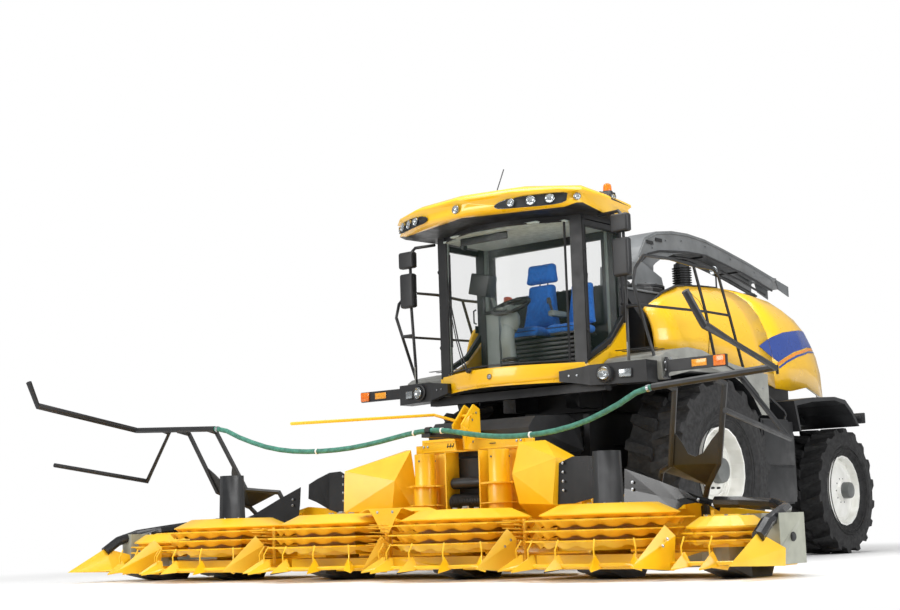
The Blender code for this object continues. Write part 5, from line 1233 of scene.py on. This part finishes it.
def formed_sheets():
    """Smoothed hood panels, spout and feeder house; the cab floor's black feet, and painted shade on its
    underside.
    """
    def plain(at, normal):
        return 0

    def on_floor(at, normal):
        foot = 0.315 < abs(at.x) < 0.485 and -0.905 < at.y < -0.495 and at.z < 1.80
        # painted shade: every face of the cab floor that faces down is painted black
        return int(foot or normal.z < -0.9)

    for name, _ in SIDES:
        repainted(f"side_panel_{name}", [YELLOW], plain, smooth=50)
        repainted(f"rear_door_{name}", [YELLOW], plain, smooth=50)
    repainted("cab_floor", [YELLOW, BLACK], on_floor, smooth=20)
    repainted("spout", [GREY], plain, smooth=40)
    repainted("feeder_house", [BLACK], plain, smooth=30)


def cab_skirt():
    """The curved sheet under the windscreen, and the plain round badge on its middle."""
    # x, y of the skirt's plan, from the left door's corner round to the middle
    corner = ((0.905, -1.345), (0.872, -1.382), (0.75, -1.442), (0.50, -1.582), (0.25, -1.682), (0.0, -1.722))
    route = [Vector((x, y)) for x, y in corner] + [Vector((-x, y)) for x, y in reversed(corner[:-1])]
    plan = curved(route, (0.0, 0.2, 0.4, 0.6, 0.8))
    top = 1.988
    # height, how far the sheet bows out
    bows = ((top, -0.012), (1.984, 0.0), (1.974, 0.003), (1.935, 0.006), (1.89, 0.007), (1.85, 0.006),
            (1.822, 0.003), (1.816, -0.002))
    rows = []
    for z, bow in bows:
        swoop = (top - z) / 0.17
        rows.append([(x * (1 + bow / 1.2), y - bow, z + swoop * 0.035 * (x / 0.9) ** 2) for x, y in plan])
    bm = sheet(rows)
    bmesh.ops.recalc_face_normals(bm, faces=bm.faces[:])
    bmesh.ops.solidify(bm, geom=everything(bm), thickness=SHEET)
    piece("cab_skirt", [bm], YELLOW, "chassis", 40)
    disc = turned(((0.0, 0.004), (0.020, 0.004), (0.022, 0.002), (0.022, 0.0), (0.0, 0.0)),
                  (0.0, -1.733, 1.90),
                  (0, -1, 0.03), 28)
    rim = turned(((0.022, 0.0), (0.027, 0.0), (0.027, 0.005), (0.022, 0.005), (0.022, 0.0)),
                 (0.0, -1.731, 1.90),
                 (0, -1, 0.03), 28)
    piece("round_badge", [(disc, 1), (rim, 0)], [BLACK, CHROME], "chassis")


def deck_ribs():
    """Ribbed deck behind the cab: flat in the middle, falling to the sides."""
    level = 2.864
    shapes = [plate([(0.02, -0.48, level), (0.60, -0.48, level), (0.60, 0.55, level), (0.02, 0.55, level)],
                    0.004)]
    for k in range(13):
        x = 0.03 + 0.045 * k
        shapes.append(box((x, -0.47, 2.862), (x + 0.018, 0.54, 2.878), 0.004))
    for k in range(5):
        x = 0.64 + 0.038 * k
        z = 2.862 - (x - 0.62) * 0.333
        shapes.append(box((x, -0.47, z - 0.006), (x + 0.02, 0.50, z + 0.010), 0.004))
    piece("deck_ribs", mirrored(shapes), DECK_GREY, "chassis")


def body_ironwork():
    """Rails beside the deck, tank covers and caps, exhaust, rear brackets, and the slats of both grilles."""
    rail = ((1.075, -0.56, 2.55), (1.02, -0.10, 2.775), (0.88, 0.40, 2.905), (0.62, 1.0, 3.0),
            (0.575, 1.45, 3.045),
            (0.56, 1.84, 3.065))
    shapes = mirrored([rod(rail, 0.012, 6), box((1.478, 1.02, 0.60), (1.488, 1.68, 0.968), 0.004),
                       box((1.478, 1.02, 0.992), (1.488, 1.68, 1.46), 0.004),
                       rod([(1.4895, 1.05, 0.98), (1.4895, 1.66, 0.98)], 0.0035, 6),
                       cylinder((1.30, 1.10, 1.478), (0, 0, 1), 0.055, 0.045, 24, 0.94, 0.008),
                       rod([(0.5, 1.94, 2.98), (0.5, 1.94, 3.24)], 0.010, 8)])
    x, y = EXHAUST
    rib = ((0.088, 0.0), (0.112, 0.004), (0.112, 0.009), (0.088, 0.013))
    shapes += [turned(rib, (x, y, 3.06 + 0.028 * k), steps=28) for k in range(9)]
    shapes += [rod([(x, y, 3.32), (x, y + 0.005, 3.345)], 0.07, 20),
               rod([(0.35, 2.0, 3.0), (0.35, 2.0, 3.12), (-0.35, 2.0, 3.12), (-0.35, 2.0, 3.0)], 0.016, 8)]
    for k in range(11):
        z = 1.68 + 0.07 * k
        shapes.append(box((-0.50, 3.437, z), (0.50, 3.452, z + 0.035), 0.003))
    for k in range(12):
        y, z = 2.05 + 0.045 * k, 3.012 - 0.0008 * k
        shapes.append(box((-0.50, y, z), (0.50, y + 0.02, z + 0.016), 0.002))
    piece("body_ironwork", shapes, BLACK, "chassis")


def rear_end():
    """Screen, work lamps, tail lamps and the rear doors' latches."""
    low, high = 1.63, 2.43
    screen = plate([(-0.52, 3.4405, low), (0.52, 3.4405, low), (0.52, 3.4405, high), (-0.52, 3.4405, high)],
                   SHEET)
    piece("rear_screen", [screen], GRILLE, "chassis")
    shell = ((0.0, 0.0), (0.05, 0.0), (0.06, 0.03), (0.055, 0.055), (0.0, 0.055))
    half = round_lamp((0.5, 1.905, 3.28), (0, -1, 0), 0.052, 0.028)
    half += [(turned(shell, (0.5, 1.955, 3.28), (0, -1, 0), 24), 3),
             (box((0.90, 3.445, 1.555), (1.46, 3.475, 1.60), 0.006), 3),
             (box((1.16, 3.475, 1.50), (1.50, 3.505, 1.625), 0.012), 3),
             (box((1.17, 3.504, 1.51), (1.28, 3.520, 1.615), 0.006), 4),
             (box((1.29, 3.504, 1.51), (1.39, 3.520, 1.615), 0.006), 5),
             (box((1.40, 3.504, 1.51), (1.49, 3.520, 1.615), 0.006), 2)]
    piece("rear_and_work_lamps", mirrored(half), [REFLECTOR, REFLECTOR, LENS, PLASTIC, RED, AMBER], "chassis")
    for name, side in SIDES:
        latch = box((1.205, 1.90, 2.02), (1.235, 1.93, 2.12), 0.006)
        piece(f"rear_door_latch_{name}", flipped([latch], side), BLACK, f"rear_door_{name}")


def spout_details():
    """Rails, tubes, slots, seams and bolts on the spout, and the clamp ring on its turret."""
    # y, z along the spout's lower rail and along its upper edge
    rail = ((0.84, 3.33), (1.0, 3.43), (1.25, 3.49), (1.55, 3.52), (1.9, 3.55), (2.3, 3.56), (2.75, 3.50),
            (3.3, 3.42), (3.93, 3.295))
    top = ((0.80, 3.40), (0.95, 3.60), (1.20, 3.70), (1.55, 3.75), (1.90, 3.765), (2.30, 3.745), (2.75, 3.68),
           (3.30, 3.59), (3.92, 3.468))
    tubes = [rod([(0.196 - 0.0085 * k / 2, y, z - 0.012) for k, (y, z) in enumerate(rail)], 0.013, 8),
             rod([(0.06, y, z - 0.055) for y, z in rail[3:]], 0.014, 8),
             rod([(0.19, 0.80, 3.16), (0.10, 0.90, 3.20), (0.06, 1.2, 3.36), (0.06, 1.55, 3.465)], 0.014, 8),
             box((0.1885, 0.98, 3.535), (0.1925, 1.12, 3.575), 0.0015),
             box((0.1885, 1.17, 3.585), (0.1925, 1.31, 3.625), 0.0015)]
    straps = [box((-0.19, 2.20, 3.505), (0.19, 2.235, 3.53), 0.004),
              box((-0.18, 3.10, 3.425), (0.18, 3.13, 3.448), 0.004)]
    piece("spout_tubes", mirrored(tubes) + straps, BLACK, "spout")
    # y, z of the bolts along the spout's cheek, which narrows towards its end
    bolts = ((0.86, 3.24), (1.10, 3.50), (1.40, 3.62), (1.75, 3.66), (2.30, 3.66), (2.9, 3.57), (3.5, 3.47))
    ribs = [rod([(0.190 - 0.0035 * k, y, z - 0.03) for k, (y, z) in enumerate(top)], 0.006, 6)]
    ribs += bolts_at([(0.190 - 0.03 * (y - 0.78) / 3.2, y, z, (1, 0, 0)) for y, z in bolts], 0.009, 0.006)
    piece("spout_ribs", mirrored(ribs), GREY, "spout")
    clamp = [turned(((0.33, -0.012), (0.352, -0.012), (0.352, 0.012), (0.33, 0.012), (0.33, -0.012)),
                    (0, TURRET_Y, 3.028), steps=40)]
    clamp += bolts_at([(x, TURRET_Y + y, 3.05, (0, 0, 1)) for x, y in on_circle(12, 0.30)], 0.011, 0.008)
    piece("turret_clamp", clamp, BLACK, "turret")


def wheel_details():
    """Hub caps, studs and pressed rings of the discs, and bead lines on the tyres."""
    # name, wheel's centre, disc's face and hub's face from that centre, hub radius, radii of the rings,
    # radii of the bead lines, the first line's distance from the centre
    table = (("front", FRONT_WHEEL, 0.158, 0.193, 0.15, (0.25, 0.30, 0.345), (0.50, 0.56), 0.321),
             ("rear", REAR_WHEEL, 0.150, 0.214, 0.11, (0.19, 0.25, 0.31), (0.46, 0.50), 0.266))
    for name, (x, y, z), disc, hub, hub_radius, rings, beads, bead_x in table:
        cap = hub_radius * 0.86
        profile = ((0.0, 0.10), (cap * 0.6, 0.098), (cap * 0.93, 0.085), (cap, 0.06), (cap, -0.02),
                   (0.0, -0.02))
        studs = [(x + disc - 0.03, y + a, z + b, (1, 0, 0)) for a, b in on_circle(10, hub_radius + 0.03)]
        for side_name, side in SIDES:
            shapes = [(ring((x + disc, y, z), (1, 0, 0), radius, 0.006, 40, 6), 0) for radius in rings]
            shapes.append((turned(profile, (x + hub, y, z), (1, 0, 0), 28), 1))
            shapes += [(bm, 2) for bm in bolts_at(studs, 0.013, 0.05)]
            piece(f"{name}_hub_{side_name}", flipped(shapes, side), [WHITE, HUB_GREY, AXLE],
                  f"{name}_wheel_{side_name}")
            lines = [ring((x + bead_x - 0.006 * k, y, z), (1, 0, 0), radius, 0.006, 48, 6)
                     for k, radius in enumerate(beads)]
            piece(f"{name}_bead_{side_name}", flipped(lines, side), RUBBER, f"{name}_wheel_{side_name}")


# Setting


def studio():
    """White floor that keeps the shadow near the machine and fades to white round it, and a white world."""
    bm = bmesh.new()
    bmesh.ops.create_grid(bm, x_segments=1, y_segments=1, size=60)
    mesh = bpy.data.meshes.new("floor")
    bm.to_mesh(mesh)
    bm.free()
    floor = bpy.data.objects.new("floor", mesh)
    bpy.context.scene.collection.objects.link(floor)
    material, shader, place = new_material("white_studio_floor", "F1F1F1", 0.9)
    tint(material, shader, place, ("F0F0F0", "F4F4F4"), 2500)
    away = add_node(material, "ShaderNodeVectorMath", {"operation": "LENGTH"},
                    links={"Vector": (place, "Object")})
    fade = add_node(material, "ShaderNodeMapRange", {"interpolation_type": "SMOOTHSTEP"},
                    {"From Min": 5.4, "From Max": 9.5, "To Min": 0.0, "To Max": 1.0},
                    {"Value": (away, "Value")})
    ray = add_node(material, "ShaderNodeLightPath")
    seen = add_node(material, "ShaderNodeMath", {"operation": "MAXIMUM"})
    link(material, ray, "Is Camera Ray", seen, 0)
    link(material, ray, "Is Glossy Ray", seen, 1)
    share = add_node(material, "ShaderNodeMath", {"operation": "MULTIPLY"})
    link(material, seen, "Value", share, 0)
    link(material, fade, "Result", share, 1)
    white = add_node(material, "ShaderNodeEmission", inputs={"Strength": 1.0})
    mixed = add_node(material, "ShaderNodeMixShader", links={"Fac": (share, "Value")})
    link(material, shader, "BSDF", mixed, 1)
    link(material, white, "Emission", mixed, 2)
    link(material, mixed, "Shader", material.node_tree.nodes["Material Output"], "Surface")
    floor.data.materials.append(material)

    world = bpy.data.worlds.new("white_studio")
    bpy.context.scene.world = world
    world.use_nodes = True
    background = world.node_tree.nodes["Background"]
    background.inputs["Color"].default_value = (1, 1, 1, 1)
    ray = add_node(world, "ShaderNodeLightPath")
    direct = add_node(world, "ShaderNodeMath", {"operation": "MAXIMUM"})
    link(world, ray, "Is Camera Ray", direct, 0)
    link(world, ray, "Is Transmission Ray", direct, 1)
    level = add_node(world, "ShaderNodeMapRange", inputs={"To Min": 0.42, "To Max": 1.0},
                     links={"Value": (direct, "Value")})
    link(world, level, "Result", background, "Strength")


def area_light(name, place, aim, size, power):
    """A rectangular lamp aimed at a point."""
    data = bpy.data.lights.new(name, "AREA")
    data.shape = "RECTANGLE"
    data.size, data.size_y = size
    data.energy = power
    light = bpy.data.objects.new(name, data)
    light.location = place
    light.rotation_euler = (Vector(aim) - Vector(place)).to_track_quat("-Z", "Y").to_euler()
    bpy.context.scene.collection.objects.link(light)


def lamps():
    """A large soft light overhead and two weaker ones, in front and at the machine's left."""
    area_light("overhead_softbox", (1.0, -2.0, 9.0), (0.0, 0.0, 1.5), (9, 7), 900)
    area_light("front_softbox", (-3.0, -12.0, 5.0), (0.0, -2.0, 1.2), (6, 4), 520)
    area_light("side_softbox", (11.0, -1.0, 5.0), (0.5, 0.5, 1.4), (6, 4), 520)


def camera():
    """The photograph's camera, found from points of known place on the machine."""
    yaw, pitch, roll = radians(39.5), radians(8.15), radians(-1.85)
    ahead = Vector((-sin(yaw) * cos(pitch), cos(yaw) * cos(pitch), sin(pitch)))
    right = Vector((cos(yaw), sin(yaw), 0))
    up = right.cross(ahead)
    side = right * cos(roll) + up * sin(roll)
    top = up * cos(roll) - right * sin(roll)
    data = bpy.data.cameras.new("camera")
    data.sensor_width = 36
    data.lens = 61.68
    data.clip_end = 200
    eye = bpy.data.objects.new("camera", data)
    turn = Matrix((side, top, -ahead)).transposed().to_4x4()
    eye.matrix_world = Matrix.Translation((9.33, -13.62, 0.46)) @ turn
    bpy.context.scene.collection.objects.link(eye)
    bpy.context.scene.camera = eye


bpy.context.scene.view_settings.view_transform = "Standard"
finish_nodes()
camera()
hose_cord()
studio()
lamps()
header_steel()
feed_drums()
drum_teeth()
tine_fans()
header_fasteners()
wing_fasteners()
roof_lamps()
roof_trim()
glazing()
wiper()
console_finish()
wheel_and_monitor()
cab_trim()
seat_pads()
platform_finish()
driving_lamps()
indicator_lenses()
hood_films()
formed_sheets()
cab_skirt()
deck_ribs()
body_ironwork()
rear_end()
spout_details()
wheel_details()
